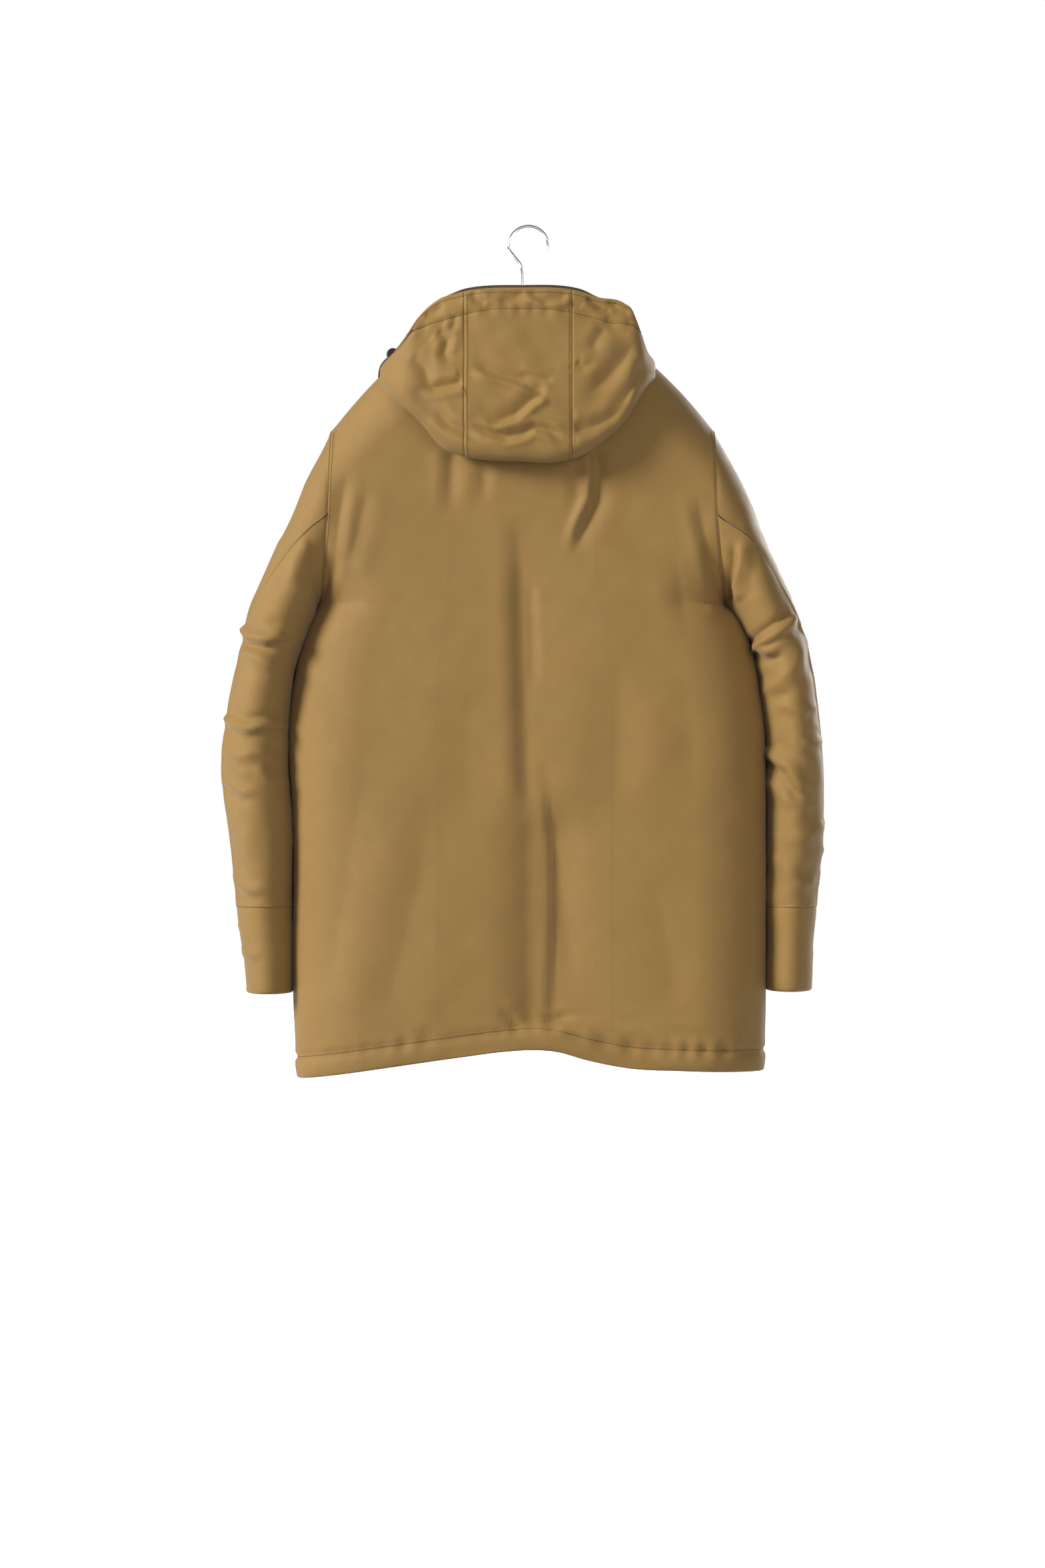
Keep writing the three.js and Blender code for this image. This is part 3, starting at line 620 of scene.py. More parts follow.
# ---- the cords, which hang from the collar over the shoulders ----
CORD_RADIUS = 2 * MM
CORD_EXIT = (90, 6, -106.5)  # on the wearer's right; the left is its mirror image
# Then the way through the lock, over the shoulder and down the front, for each side.
CORD_FALL = {
    -1: (
        (114, 6, -124), (138, 6, -141.5), (162, 6, -159), (171, 6.5, -165.6), (177, 13.5, -172.5),
        (180, 27, -184.5), (180, 37.5, -196), (181, 50.5, -210), (181.5, 60.5, -228), (182, 67, -250),
        (182, 69.7, -274),
    ),
    1: (
        (114, 6, -124), (138, 6, -141.5), (147, 6.5, -148.1), (152.5, 14, -155.5),
        (154.8, 27.5, -166.5), (155.5, 42.5, -178), (156.5, 53.5, -192), (157, 62.3, -210),
        (157.5, 68, -232), (157.5, 69.8, -256),
    ),
}


def cord_knot(name, side):
    """An overhand knot at the cord's end: one crossed turn of the same cord, pulled tight."""
    turns = np.linspace(0, 2 * np.pi, 40, endpoint=False)
    x = 1.7 * (np.sin(turns) + 0.9 * np.sin(2 * turns))
    z = 1.6 * (np.cos(turns) - 0.9 * np.cos(2 * turns))
    y = 1.1 * np.sin(3 * turns)
    end = np.array(CORD_FALL[side][-1]) * (side, 1, 1)
    route = (np.stack([x, y, z], -1) + end + (0, 0, 2.5)) * MM
    piece = tube(name, np.concatenate([route, route[:1]]), 1.45 * MM)
    return finish_piece(piece, "cord", "coat")


def drawcord(name, side):
    route = through(np.array([CORD_EXIT, *CORD_FALL[side]]) * (side, 1, 1) * MM)
    piece = finish_piece(tube(f"{name}_cord", route, CORD_RADIUS), "cord", "coat", f"{name}_drawcord")
    long = float(np.linalg.norm(np.diff(route, axis=0), axis=-1).sum())
    knot = cord_knot(f"{name}_cord_knot", side)
    print("cord length", name, round(long, 4))
    return piece, knot, route[0], long


CORDS = {name: drawcord(name, side) for name, side in SIDES}


# ---- the coat's body: a back and two fronts, each of shell, padding and lining ----
# Each side's seam as pairs of height and distance from the middle, in millimetres.
SIDE_SEAM = {
    -1: (
        (-1062, 282), (-982, 286), (-909, 288), (-825, 286), (-774, 285.5), (-710, 288), (-659, 292),
        (-616, 292), (-570, 286), (-532, 278), (-499, 267), (-482, 259), (-472, 254),
    ),
    1: (
        (-1062, 302), (-982, 304.5), (-909, 304.5), (-825, 304), (-774, 303.5), (-659, 304),
        (-632, 303.5), (-592, 299), (-530, 287), (-499, 275), (-482, 264), (-472, 254),
    ),
}
# The hem as pairs of x and height: it rises to the pleat, and hangs lowest at the left side.
HEM = (
    (-305, -1066), (-165, -1046), (-80, -1034), (-16, -1026), (10, -1024.5), (41, -1026.5), (80, -1037),
    (132, -1047), (200, -1050.5), (310, -1053.5),
)
HEM_TURN = 3 * MM  # the radius of the shell's turn at the hem
ARM_RISE = 0.95  # how fast the coat's side deepens above the underarm
FACING = 30 * MM  # how far the shell goes up inside the hem
HEM_STITCH = 27 * MM
PADDING_LIFT = 14 * MM  # how far above the hem the padding ends, and the lining
LINING_LIFT = 26 * MM
# The padding's two faces: each one's inset, the share of a fold that it follows, and the depth past
# which a fold pushes it along all the way.
PADDING_FACES = ((4.4 * MM, 1.0, 0.0), (9.8 * MM, 0.3, 4.4 * MM))
LINING_SPARE = 6.5 * MM  # a fold that is shallower than this doesn't reach the lining


def shoulder_line(x):
    return SHOULDER_TOP - SHOULDER_DROP * x * x


def body_edge(side, z):
    """How far the coat's side is from its middle: the side seam, and the armhole above it."""
    shoulder = shoulder_line(SHOULDER_HALF)
    below = curved_table(SIDE_SEAM[side], z / MM) * MM
    share = np.clip((shoulder - z) / (shoulder - UNDERARM), 0, 1)
    return np.where(z < UNDERARM, below, SHOULDER_HALF + 15 * MM * share**2)


def hem_line(x):
    return curved_table(HEM, x / MM) * MM


def neck_line(face, x):
    round_off = np.sqrt(np.maximum(0, 1 - (x / NECK_HALF) ** 2))
    return shoulder_line(NECK_HALF) - (12 * MM if face < 0 else 29 * MM) * round_off


def fullness(distance, power):
    """How full the padded coat is, from 0 at an edge to 1 a rounding away from it."""
    return (1 - (1 - np.clip(distance / ROUNDING, 0, 1)) ** power) ** (1 / power)


def layer_edge(side, z, inset):
    """The side of a layer that is inset below the underarm, and reaches the armhole above it."""
    return body_edge(side, z) - inset * smooth(UNDERARM + inset, UNDERARM - 12 * MM, z)


def body_depth(face, side, x, z, inset):
    power = 2 if face < 0 else mix(4, 2.2, smooth(60 * MM, 130 * MM, np.abs(x)))
    above_arm = np.maximum(0, z - UNDERARM - inset)
    above_arm = above_arm**2 / (above_arm + 22 * MM)  # starts gently
    from_side = layer_edge(side, z, inset) - np.abs(x) + ARM_RISE * above_arm
    top = fullness(shoulder_line(x) - inset - z, power)
    return (HALF_DEPTH - inset) * top * fullness(from_side, 2)


def body_points(face, side, start, out, down, inset, lift=0.0):
    """Points of the body: out from the middle to the side, down from the top to the hem."""
    spread = 1 - (1 - out) ** 1.7
    top_x = mix(start, SHOULDER_HALF, spread)
    shoulder = shoulder_line(top_x) - inset
    top = np.where(top_x < NECK_HALF, np.minimum(shoulder, neck_line(face, top_x)), shoulder)
    hem = hem_line(side * mix(start, body_edge(side, np.array(-1040 * MM)), spread)) + lift
    arm = UNDERARM + inset
    upper = mix(top, arm, 0.5 - 0.5 * np.cos(np.minimum(down, 0.5) * 2 * np.pi))
    lower = mix(arm, hem, np.clip(down * 2 - 1, 0, 1) ** 1.3)
    z = np.where(down < 0.5, upper, lower)
    x = mix(start, layer_edge(side, z, inset), spread)
    depth = body_depth(face, side, x, z, inset)
    return np.stack([side * x, face * depth, z], -1)


def hem_rows():
    """For the turned hem's rows: each one's inset, and its height above the hem line."""
    turn = np.linspace(0, np.pi, 9)
    insets = HEM_TURN * (1 - np.cos(turn))
    lifts = HEM_TURN * (1 - np.sin(turn))
    up = np.linspace(HEM_TURN + 4 * MM, FACING, 6)
    return np.concatenate([insets, np.full(6, insets[-1])]), np.concatenate([lifts, up])


def body_shell(face, side_of, start, across, turned):
    """The shell's outer face, with its hem turned up inside."""
    down = steps(900 * MM, PITCH, (True, False))
    insets, lifts = hem_rows()
    rows = [body_grid(face, side_of, start, across, down, 0.0, HEM_TURN)]
    rows += [body_grid(face, side_of, start, across, (1.0,), inset, lift)
             for inset, lift in zip(insets[1:], lifts[1:])]
    after = 1 + np.arange(1, len(insets)) * 0.01
    return Cloth(np.concatenate(rows), across, np.concatenate([down, after]), turned)


def body_grid(face, side_of, start, across, down, inset, lift):
    signed, out = side_of(across)
    out, level = np.meshgrid(out, down)
    both = {side: body_points(face, side, start, out, level, inset, lift) for side in (-1, 1)}
    return np.where((signed < 0)[None, :, None], both[-1], both[1])


# Each of these gives the sides of places across a panel, and how far out from the middle they are.
def back_halves(across):
    return np.where(across < 0.5, -1, 1), np.abs(across - 0.5) * 2


def front_half(side):
    return lambda across: (np.full(across.shape, side), across)


BACK_FOLDS = [
    # the deep pleat down the middle: a soft fall to a flat strip, then a narrow line
    ([(-8, -345), (-4, -430), (-2, -520), (0, -600), (2, -680), (5, -745)],
     8.0, 25, 0.06, (0.3, 0.15), 0.95),
    ([(12, -690), (9, -770), (9, -850), (10, -920), (11, -985), (12, -1000)],
     11, 56, 0.04, (0.25, 0.03), 1.0),
    ([(25, -650), (30, -700), (39, -785), (40, -850), (37, -920), (34, -1000)],
     4.0, 10, 0.12, (0.3, 0.04), 0.95),
    ([(44, -640), (56, -740), (60, -830), (56, -920), (50, -1000)], 3.5, 46, 0.05, (0.4, 0.05), 0.9),
    ([(10, -440), (13, -520), (13, -580)], 1.8, 5, 0.3),
    # short folds below the hood
    ([(-86, -285), (-88, -320), (-90, -375)], 3.2, 8, 0.5, (0.05, 0.6)),
    ([(-45, -285), (-47, -320), (-50, -362)], 2.2, 7, 0.5, (0.05, 0.6)),
    ([(88, -280), (92, -315), (90, -345), (72, -385), (64, -420)], 5.5, 8, 0.6, (0.05, 0.35), 0.6),
    ([(64, -300), (66, -340), (60, -370)], 1.6, 7, 0.5, (0.05, 0.5)),
    # drags towards the armholes
    ([(-214, -300), (-224, -360), (-232, -420), (-254, -475)], 3.2, 9, 0.4, (0.3, 0.1), -0.4),
    ([(212, -330), (224, -385), (240, -440), (256, -490)], 3.4, 10, 0.4, (0.3, 0.1), 0.4),
    ([(-190, -330), (-204, -390), (-220, -440)], 1.6, 9, 0.5),
    ([(186, -400), (196, -460), (206, -520)], 1.8, 12, 0.5, (0.4, 0.4)),
    # soft hangs in the lower back
    ([(-190, -640), (-208, -760), (-232, -900), (-246, -980)], 3.0, 26, 0.4, (0.3, 0.2)),
    ([(-120, -700), (-128, -820), (-160, -940), (-166, -990)], 2.2, 22, 0.4, (0.4, 0.15)),
    ([(118, -520), (120, -640), (112, -760)], 2.6, 22, 0.4, (0.4, 0.4)),
    ([(60, -700), (44, -760), (52, -860), (70, -960)], 2.4, 18, 0.4, (0.3, 0.3)),
    ([(196, -560), (206, -640), (210, -720)], 2.0, 24, 0.4, (0.4, 0.4)),
    ([(160, -800), (176, -880), (196, -980)], 2.0, 22, 0.4, (0.4, 0.2)),
    ([(-60, -560), (-70, -660), (-58, -760)], 1.8, 26, 0.4, (0.4, 0.4)),
    # puckers that the hem's stitching pulls up
    ([(-34, -972), (-16, -984), (-6, -1002)], 3.2, 5, 0.5, (0.4, 0.1)),
    ([(22, -984), (36, -994), (52, -984), (66, -988)], 3.6, 5, 0.5, (0.1, 0.4)),
    ([(96, -986), (118, -992), (140, -990), (164, -998)], 2.2, 5, 0.5, (0.3, 0.3)),
    ([(178, -1000), (204, -1004), (236, -1008)], 1.8, 5, 0.5, (0.3, 0.4)),
    ([(-150, -1012), (-120, -1004), (-96, -1006)], 1.4, 5, 0.5, (0.4, 0.4)),
]
FRONT_FOLDS = [
    ([(96, -190), (84, -260), (74, -330)], 2.4, 12, 0.5, (0.2, 0.5)),
    ([(186, -270), (206, -350), (232, -430), (250, -478)], 3.6, 10, 0.4, (0.3, 0.1)),
    ([(150, -380), (166, -450), (184, -520)], 2.2, 16, 0.5, (0.4, 0.4)),
    ([(110, -430), (116, -520), (108, -600)], 2.2, 20, 0.4, (0.4, 0.4)),
    ([(232, -560), (238, -680), (226, -800)], 2.6, 22, 0.4, (0.4, 0.4)),
    ([(240, -860), (246, -930), (238, -1000)], 2.4, 16, 0.4, (0.3, 0.2)),
    ([(90, -870), (100, -930), (96, -1000)], 2.0, 14, 0.4, (0.4, 0.2)),
    ([(170, -872), (164, -930), (176, -1004)], 2.2, 15, 0.4, (0.4, 0.2)),
]


def hem_pinch(points):
    """The channel that the hem's stitches pull in, and the small puckers along it."""
    x, z = points[..., 0], points[..., 2]
    off = z - (hem_line(x) + HEM_STITCH)
    line = -3.2 * MM * np.exp(-((off / (2.6 * MM)) ** 2))
    gather = np.sin(x / (4.2 * MM) + 2.2 * np.sin(x / (31 * MM)))
    strong = 0.3 + 0.9 * smooth(-0.5, 0.9, ripple(points * (1, 0, 0), 60 * MM, 5))
    puffed = 1.6 * MM * np.exp(-(((off + 14 * MM) / (9 * MM)) ** 2))
    return line + puffed + 1.5 * MM * strong * gather * np.exp(-((off / (10 * MM)) ** 2))


def soft_field(points, seed):
    """The slight unevenness of padded cloth: slow swells, and finer creases over them."""
    stretched = points * (1, 1, 0.45)
    slow = ripple(stretched, 80 * MM, seed)
    fine = ripple(points + 6 * MM * slow[..., None], 24 * MM, seed + 1)
    return 1.3 * MM * slow + 0.28 * MM * fine * smooth(0.0, 1.5, 1 + slow)


def outside_only(cloth, field):
    """Fades a field out on the hem's turn, whose rows come after the place down of 1."""
    keep = 1 - smooth(0.985, 1.02, cloth.down)
    return field * keep[:, None]


def hold_edges(cloth, field, hold=12 * MM):
    """Fades a field out at the sewn edges, where the cloth meets its neighbours."""
    over, under = cloth.lengths()
    held = smooth(0, hold, under)
    if not cloth.wrap:
        held = held * smooth(0, hold, over) * smooth(0, hold, over[:, -1:] - over)
    return field * held


def make_layers(name, face, side_of, start, wide, folds, seed, turned):
    """One panel of the body: its shell, padding and lining, each following the same folds."""
    across = steps(wide)
    shell = body_shell(face, side_of, start, across, turned)
    base = shell.points.copy()
    field = folded(base, folds) + soft_field(base, seed)
    shell.push(outside_only(shell, hold_edges(shell, field)) + outside_only(shell, hem_pinch(base)))
    shell.push(shell.edge_roll(ends=(True, False)))
    padded_piece(shell.piece(f"{name}_shell", SHELL_THICK), "coat", f"{name}_panel")

    coarse = np.linspace(0.012, 0.988, 101)
    rows = np.linspace(0.03, 1, 121)
    grids = []
    for inset, follow, spare in PADDING_FACES:
        grid = body_grid(face, side_of, start, coarse, rows, inset, PADDING_LIFT)
        layer = Cloth(grid, coarse, rows, turned)
        drawn = np.minimum(folded(grid, folds), 0)
        layer.push(np.minimum(follow * drawn, drawn + spare) - 0.5 * MM)
        grids.append(layer)
    padding = grids[0].piece(f"{name}_padding", 0, grids[1].points)
    padded_piece(padding, "coat", f"{name}_insulation", "insulation")

    coarse = np.linspace(0, 1, 101)
    rows = np.linspace(0, 1, 121)
    grid = body_grid(face, side_of, start, coarse, rows, LINING_INSET, LINING_LIFT)
    lining = Cloth(grid, coarse, rows, turned)
    deep = np.minimum(folded(grid, folds) + LINING_SPARE, 0)
    soft = -1.0 * MM - 1.0 * MM * ripple(grid * (1, 1, 0.4), 36 * MM, seed + 3)
    lining.push(hold_edges(lining, deep + soft))
    cloth = finish_piece(lining.piece(f"{name}_lining_cloth", 0.5 * MM), "lining_fabric", "coat",
                         f"{name}_lining")
    declare_sheet(cloth, lining)
    return shell


def declare_sheet(piece, cloth):
    over, under = cloth.lengths()
    wide = float(over[:, -1].max())
    if cloth.wrap:
        gap = np.linalg.norm(cloth.points[:, -1] - cloth.points[:, 0], axis=-1)
        wide = float((over[:, -1] + gap).max())
    long = float(under[-1].max())
    area = min(cloth.area(), wide * long)
    print(f"sheet {piece.name}: {wide:.3f} x {long:.3f} m, {area:.4f} m2")


BACK = make_layers("back", -1, back_halves, 0.0, 600 * MM, BACK_FOLDS, 11, -1)
FRONTS = {}
for name, side in SIDES:
    mirrored = [([(side * x, z) for x, z in route], *rest) for route, *rest in FRONT_FOLDS]
    FRONTS[side] = make_layers(f"{name}_front", 1, front_half(side), ZIP_HALF, 300 * MM, mirrored,
                               31 + side, side)


# ---- the sleeves ----
# Each section runs from an outer (x, z) to an inner one, seen from behind, with its half depth.
SLEEVE = {
    -1: (
        (241, -258, 256, -469, 60), (263, -303, 257, -474, 66), (286, -357, 258.5, -486, 70),
        (311, -416, 265.5, -501, 71), (341, -482, 275.5, -527, 71), (357, -549, 287, -568, 69),
        (370, -616, 292.5, -625, 66), (376, -682, 291, -684, 63), (366, -757, 286.5, -757, 60),
        (357, -849, 287.2, -849, 55), (345.5, -956, 288, -956, 50),
    ),
    1: (
        (241, -258, 256, -468, 60), (263, -300, 257.5, -474, 66), (286, -349, 263.5, -486, 70),
        (312.5, -416, 273.5, -500, 71), (343, -482, 284.5, -527, 71), (361, -549, 296, -568, 69),
        (370, -616, 303.8, -625, 66), (375, -684, 304.5, -686, 63), (374, -757, 304, -757, 60),
        (367, -849, 304.8, -849, 55), (362, -953, 305, -953, 50),
    ),
}
CUFF_SEAM = 9
SLEEVE_END = 10
SLEEVE_FORWARD = 12 * MM
SLEEVE_LONG = 720 * MM
CUFF_LONG = 107 * MM
FRONT_SEAM = -110
SEAM_TRIM = 0.25
ROUNDNESS = 1.04  # 1 makes the sleeve an ellipse, and more makes its back narrower


def power_of(value, exponent):
    return np.sign(value) * np.abs(value) ** exponent


def armhole_points(side, degrees, inset):
    """The ring where the sleeve meets the coat, just inside the coat's own edge."""
    angle = np.radians(degrees)
    top = shoulder_line(SHOULDER_HALF)
    height = (top - UNDERARM) / 2 - inset
    z = (top + UNDERARM) / 2 + height * power_of(np.cos(angle), 0.9)
    x = body_edge(side, z) - 1 * MM
    behind = body_depth(-1, side, x + 1 * MM, z, inset)
    ahead = body_depth(1, side, x + 1 * MM, z, inset)
    depth = np.where(np.sin(angle) > 0, -behind, ahead)
    return np.stack([side * x, depth * 0.99, z], -1)


def sleeve_points(side, section, degrees, inset):
    """Points of the sleeve at a section and an angle: 0 outwards, 90 behind, 180 to the body."""
    near = (1 - smooth(-0.1, 1.5, np.asarray(section)))[..., None]
    ring = armhole_points(side, degrees, np.asarray(inset))
    first = section_points(side, np.zeros(np.shape(section)), degrees, inset)
    return section_points(side, section, degrees, inset) + (ring - first) * near


def section_points(side, section, degrees, inset):
    numbers = np.arange(len(SLEEVE[side]))
    columns = [
        curved_table(list(zip(numbers, column)), section) * MM for column in zip(*SLEEVE[side])
    ]
    outer = np.stack([columns[0], columns[1]], -1)
    inner = np.stack([columns[2], columns[3]], -1)
    middle = (outer + inner) / 2
    arm = (outer - inner) / 2
    reach = np.linalg.norm(arm, axis=-1, keepdims=True)
    arm = arm * (1 - np.asarray(inset)[..., None] / reach)
    angle = np.radians(degrees)
    point = middle + arm * power_of(np.cos(angle), ROUNDNESS)[..., None]
    forward = SLEEVE_FORWARD * (np.clip(section, 0, None) / SLEEVE_END) ** 1.5
    y = forward - (columns[4] - inset) * power_of(np.sin(angle), ROUNDNESS)
    return np.stack([side * point[..., 0], y, point[..., 1]], -1)


def back_seam(section):
    return mix(90, 14, smooth(0, 5.5, section))


def upper_angle(section, share, trim=SEAM_TRIM):
    return mix(FRONT_SEAM + trim, back_seam(section) - trim, share)


def under_angle(section, share, trim=SEAM_TRIM):
    return mix(back_seam(section) + trim, FRONT_SEAM + 360 - trim, share)


def whole_angle(section, around):
    half = np.minimum(around * 2, 1)
    rest = np.maximum(around * 2 - 1, 0)
    return np.where(around < 0.5, upper_angle(section, half, 0), under_angle(section, rest, 0))


SLEEVE_FOLDS = {
    -1: [
        ([(-352, -500), (-338, -514), (-316, -518), (-290, -511)], 6.5, 6, 0.6, (0.1, 0.2), 0.3),
        ([(-352, -528), (-330, -540), (-300, -556)], 3.4, 7, 0.5, (0.2, 0.3)),
        ([(-374, -612), (-360, -620), (-340, -628), (-318, -622), (-292, -624)], 4.6, 5, 0.6,
             (0.05, 0.2)),
        ([(-374, -650), (-352, -662), (-326, -656), (-300, -668)], 2.6, 6, 0.5, (0.1, 0.3)),
        ([(-373, -688), (-362, -696), (-346, -706), (-326, -708)], 4.2, 5, 0.6, (0.05, 0.4)),
        ([(-330, -672), (-318, -690), (-300, -700)], 2.8, 6, 0.5),
        ([(-366, -806), (-352, -820), (-336, -828), (-314, -826)], 3.8, 5, 0.6, (0.05, 0.4)),
        ([(-352, -900), (-336, -908), (-318, -904)], 2.0, 5, 0.5, (0.1, 0.4)),
        ([(-262, -392), (-280, -420), (-286, -452)], 3.4, 8, 0.5, (0.2, 0.2)),
        ([(-300, -380), (-312, -430), (-322, -462)], 2.0, 9, 0.5),
        ([(-346, -740), (-340, -780), (-330, -800)], 1.8, 8, 0.5, (0.4, 0.4)),
    ],
    1: [
        ([(268, -402), (270, -424), (264, -450), (268, -470)], 5.5, 6, 0.6, (0.1, 0.1), 0.4),
        ([(338, -484), (326, -500), (306, -514), (292, -524), (304, -532), (322, -526)], 6.5, 6,
         0.6, (0.1, 0.2), 0.3),
        ([(344, -520), (336, -548), (316, -572), (298, -584)], 3.2, 8, 0.5, (0.2, 0.2)),
        ([(366, -600), (346, -606), (324, -598), (308, -606)], 2.6, 6, 0.5, (0.1, 0.3)),
        ([(302, -652), (314, -664), (330, -676), (338, -694), (352, -710)], 5.5, 6, 0.6,
             (0.05, 0.2), 0.3),
        ([(306, -690), (322, -708), (334, -730)], 3.2, 7, 0.5, (0.1, 0.3)),
        ([(374, -640), (358, -648), (340, -644)], 2.6, 5, 0.5, (0.05, 0.4)),
        ([(372, -744), (352, -760), (330, -756)], 2.0, 7, 0.5, (0.1, 0.4)),
        ([(310, -780), (326, -800), (340, -828)], 2.6, 8, 0.5, (0.2, 0.4)),
        ([(364, -816), (348, -822), (330, -818)], 2.2, 6, 0.5, (0.1, 0.4)),
        ([(318, -404), (334, -440), (344, -470)], 2.2, 9, 0.5),
    ],
}


def sleeve_field(points, side, seed):
    """The sleeve's folds: those drawn on its back, and rings of soft creases all round it."""
    centre_y = SLEEVE_FORWARD / 2
    behind = smooth(-24 * MM, 22 * MM, centre_y - points[..., 1])
    drawn = 1.05 * folded(points, SLEEVE_FOLDS[side]) * behind
    lower = smooth(-480 * MM, -540 * MM, points[..., 2])
    twisted = points * (0.35, 0.35, 1) + (0, 0, 0.1) * points[..., :1]
    rings = ripple(twisted, 30 * MM, seed)
    creases = -np.exp(-((rings / 0.3) ** 2)) + 0.4
    patches = smooth(-0.6, 0.9, ripple(points, 70 * MM, seed + 4))
    soft = 1.4 * MM * ripple(points, 52 * MM, seed + 1)
    free = (1 - 0.7 * behind) * patches
    return drawn + soft + (2.4 * MM * creases * lower + 0.7 * MM * creases) * free


def turned_end(side, around):
    """The rows that turn the cuff's end inside, after its outer face."""
    insets, lifts = hem_rows()
    return [
        sleeve_points(side, np.full(around.shape, SLEEVE_END - lift / CUFF_LONG),
                      whole_angle(SLEEVE_END, around), np.full(around.shape, inset))
        for inset, lift in zip(insets[1:], lifts[1:])
    ]


def sleeve_grid(side, sections, shares, angle_at, inset):
    share, section = np.meshgrid(shares, sections)
    return sleeve_points(side, section, angle_at(section, share), np.full(section.shape, inset))


def sleeve_blend(piece):
    """Bakes the piece's placement into its mesh."""
    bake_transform(piece)


def hold_ends(cloth, field, last=True):
    """Fades a field out at the first row, and at the last one too."""
    under = cloth.lengths()[1]
    hold = 10 * MM
    held = smooth(0, hold, under)
    if last:
        held = held * smooth(0, hold, under[-1:] - under)
    return field * held


def make_sleeve(name, side):
    """A sleeve's pieces; returns its shell panels and its cuff for the stitching."""
    seed = 60 + side
    made = {}
    top_tuck = -0.012  # the first row lies just inside the armhole
    for part, angle_at in (("upper", upper_angle), ("under", under_angle)):
        down = steps(SLEEVE_LONG * CUFF_SEAM / SLEEVE_END, SMALL_PITCH)
        across = steps(125 * MM, SMALL_PITCH)
        sections = mix(top_tuck, CUFF_SEAM - 0.003, down)
        cloth = Cloth(sleeve_grid(side, sections, across, angle_at, 0.0), across, down, -side)
        base = cloth.points.copy()
        over = cloth.lengths()[0]
        seam = smooth(0, 7 * MM, np.minimum(over, over[:, -1:] - over))
        cloth.push(hold_ends(cloth, sleeve_field(base, side, seed)) * (0.3 + 0.7 * seam))
        cloth.push(cloth.edge_roll(ends=(False, True), depth=0.9 * MM))
        piece = cloth.piece(f"{name}_{part}_sleeve_shell", SHELL_THICK)
        finish_piece(piece, "shell_fabric", None, f"{name}_{part}_sleeve")
        sleeve_blend(piece)
        made[part] = cloth

    around = np.linspace(0, 1, 81)[:-1]
    band = steps(CUFF_LONG, SMALL_PITCH, (True, False))
    room = 1 - HEM_TURN / CUFF_LONG
    tuck = -0.02  # the band's first rows lie under the end of the sleeve
    rows = [
        sleeve_points(side, np.full(around.shape, CUFF_SEAM + mix(tuck, room, place)),
                      whole_angle(CUFF_SEAM, around),
                      np.full(around.shape, 1.5 * MM * smooth(0.035, 0.0, place)))
        for place in band
    ]
    rows += turned_end(side, around)
    after = 1 + np.arange(1, len(rows) - len(band) + 1) * 0.01
    cuff = Cloth(np.stack(rows), around, np.concatenate([band, after]), -side, wrap=True)
    field = sleeve_field(cuff.points, side, seed) * 0.8
    cuff.push(outside_only(cuff, hold_ends(cuff, field, last=False)))
    padded_piece(cuff.piece(f"{name}_cuff_band", SHELL_THICK), f"{name}_sleeve", f"{name}_cuff")
    made["cuff"] = cuff

    coarse = np.linspace(0, 1, 49)[:-1]
    grids = []
    for inset in (4 * MM, 9 * MM):
        sections = np.linspace(0.05, SLEEVE_END - 0.14, 70)
        grid = sleeve_grid(side, sections, coarse, whole_angle, inset)
        layer = Cloth(grid, coarse, np.linspace(0, 1, 70), -side, wrap=True)
        grids.append(layer.push(0.8 * sleeve_field(grid, side, seed) - 0.8 * MM))
    padding = grids[0].piece(f"{name}_sleeve_padding", 0, grids[1].points)
    finish_piece(padding, "insulation", None, f"{name}_sleeve_insulation")
    sleeve_blend(padding)

    sections = np.linspace(0.01, SLEEVE_END - 0.24, 90)
    grid = sleeve_grid(side, sections, coarse, whole_angle, LINING_INSET + 0.4 * MM)
    lining = Cloth(grid, coarse, np.linspace(0, 1, 90), -side, wrap=True)
    lining.push(-0.8 * MM - 0.8 * MM * ripple(grid * (1, 1, 0.5), 26 * MM, seed + 2))
    cloth = finish_piece(lining.piece(f"{name}_sleeve_lining_cloth", 0.5 * MM), "lining_fabric",
                         None, f"{name}_sleeve_lining")
    sleeve_blend(cloth)
    declare_sheet(cloth, lining)
    return made


SLEEVES = {side: make_sleeve(name, side) for name, side in SIDES}


# ---- the collar: the hood's fixed front ----
COLLAR_BACK = 44 * MM
COLLAR_SIDE_TOP = -86 * MM
COLLAR_FRONT_TOP = -74 * MM
COLLAR_PANELS = (("left", 94.5, 206), ("right", -26, 85.5))  # the degrees that each runs between


def collar_points(degrees, up, inset):
    """Points of the collar: 90 is the middle of the front, 180 the left side, 270 the back.

    Its foot meets the edge of the body's neckline, which it is sewn to.
    """
    angle = np.radians(degrees)
    x = (NECK_HALF - inset) * power_of(np.cos(angle), 2 / 3)
    reach = np.where(np.sin(angle) > 0, HALF_DEPTH, COLLAR_BACK)
    y = (reach - inset) * power_of(np.sin(angle), 2 / 3)
    near = np.minimum(np.abs(x), NECK_HALF)
    bottom = np.where(y < 0, neck_line(-1, near), neck_line(1, near))
    back, front = (body_depth(face, 1, near, bottom, 0.0) for face in (-1, 1))
    foot = np.where(y < 0, -back, front) - np.sign(y) * (inset + 0.5 * MM)
    y_up = mix(y, np.where(near > NECK_HALF - inset - 1 * MM, y, foot), smooth(0.6, 0.0, up))
    rising = mix(COLLAR_SIDE_TOP, COLLAR_FRONT_TOP, y / HALF_DEPTH)
    top = np.where(y > 0, rising, COLLAR_SIDE_TOP + y / 3)
    return np.stack([x, y_up, mix(bottom + 0.8 * MM, top, up)], -1)


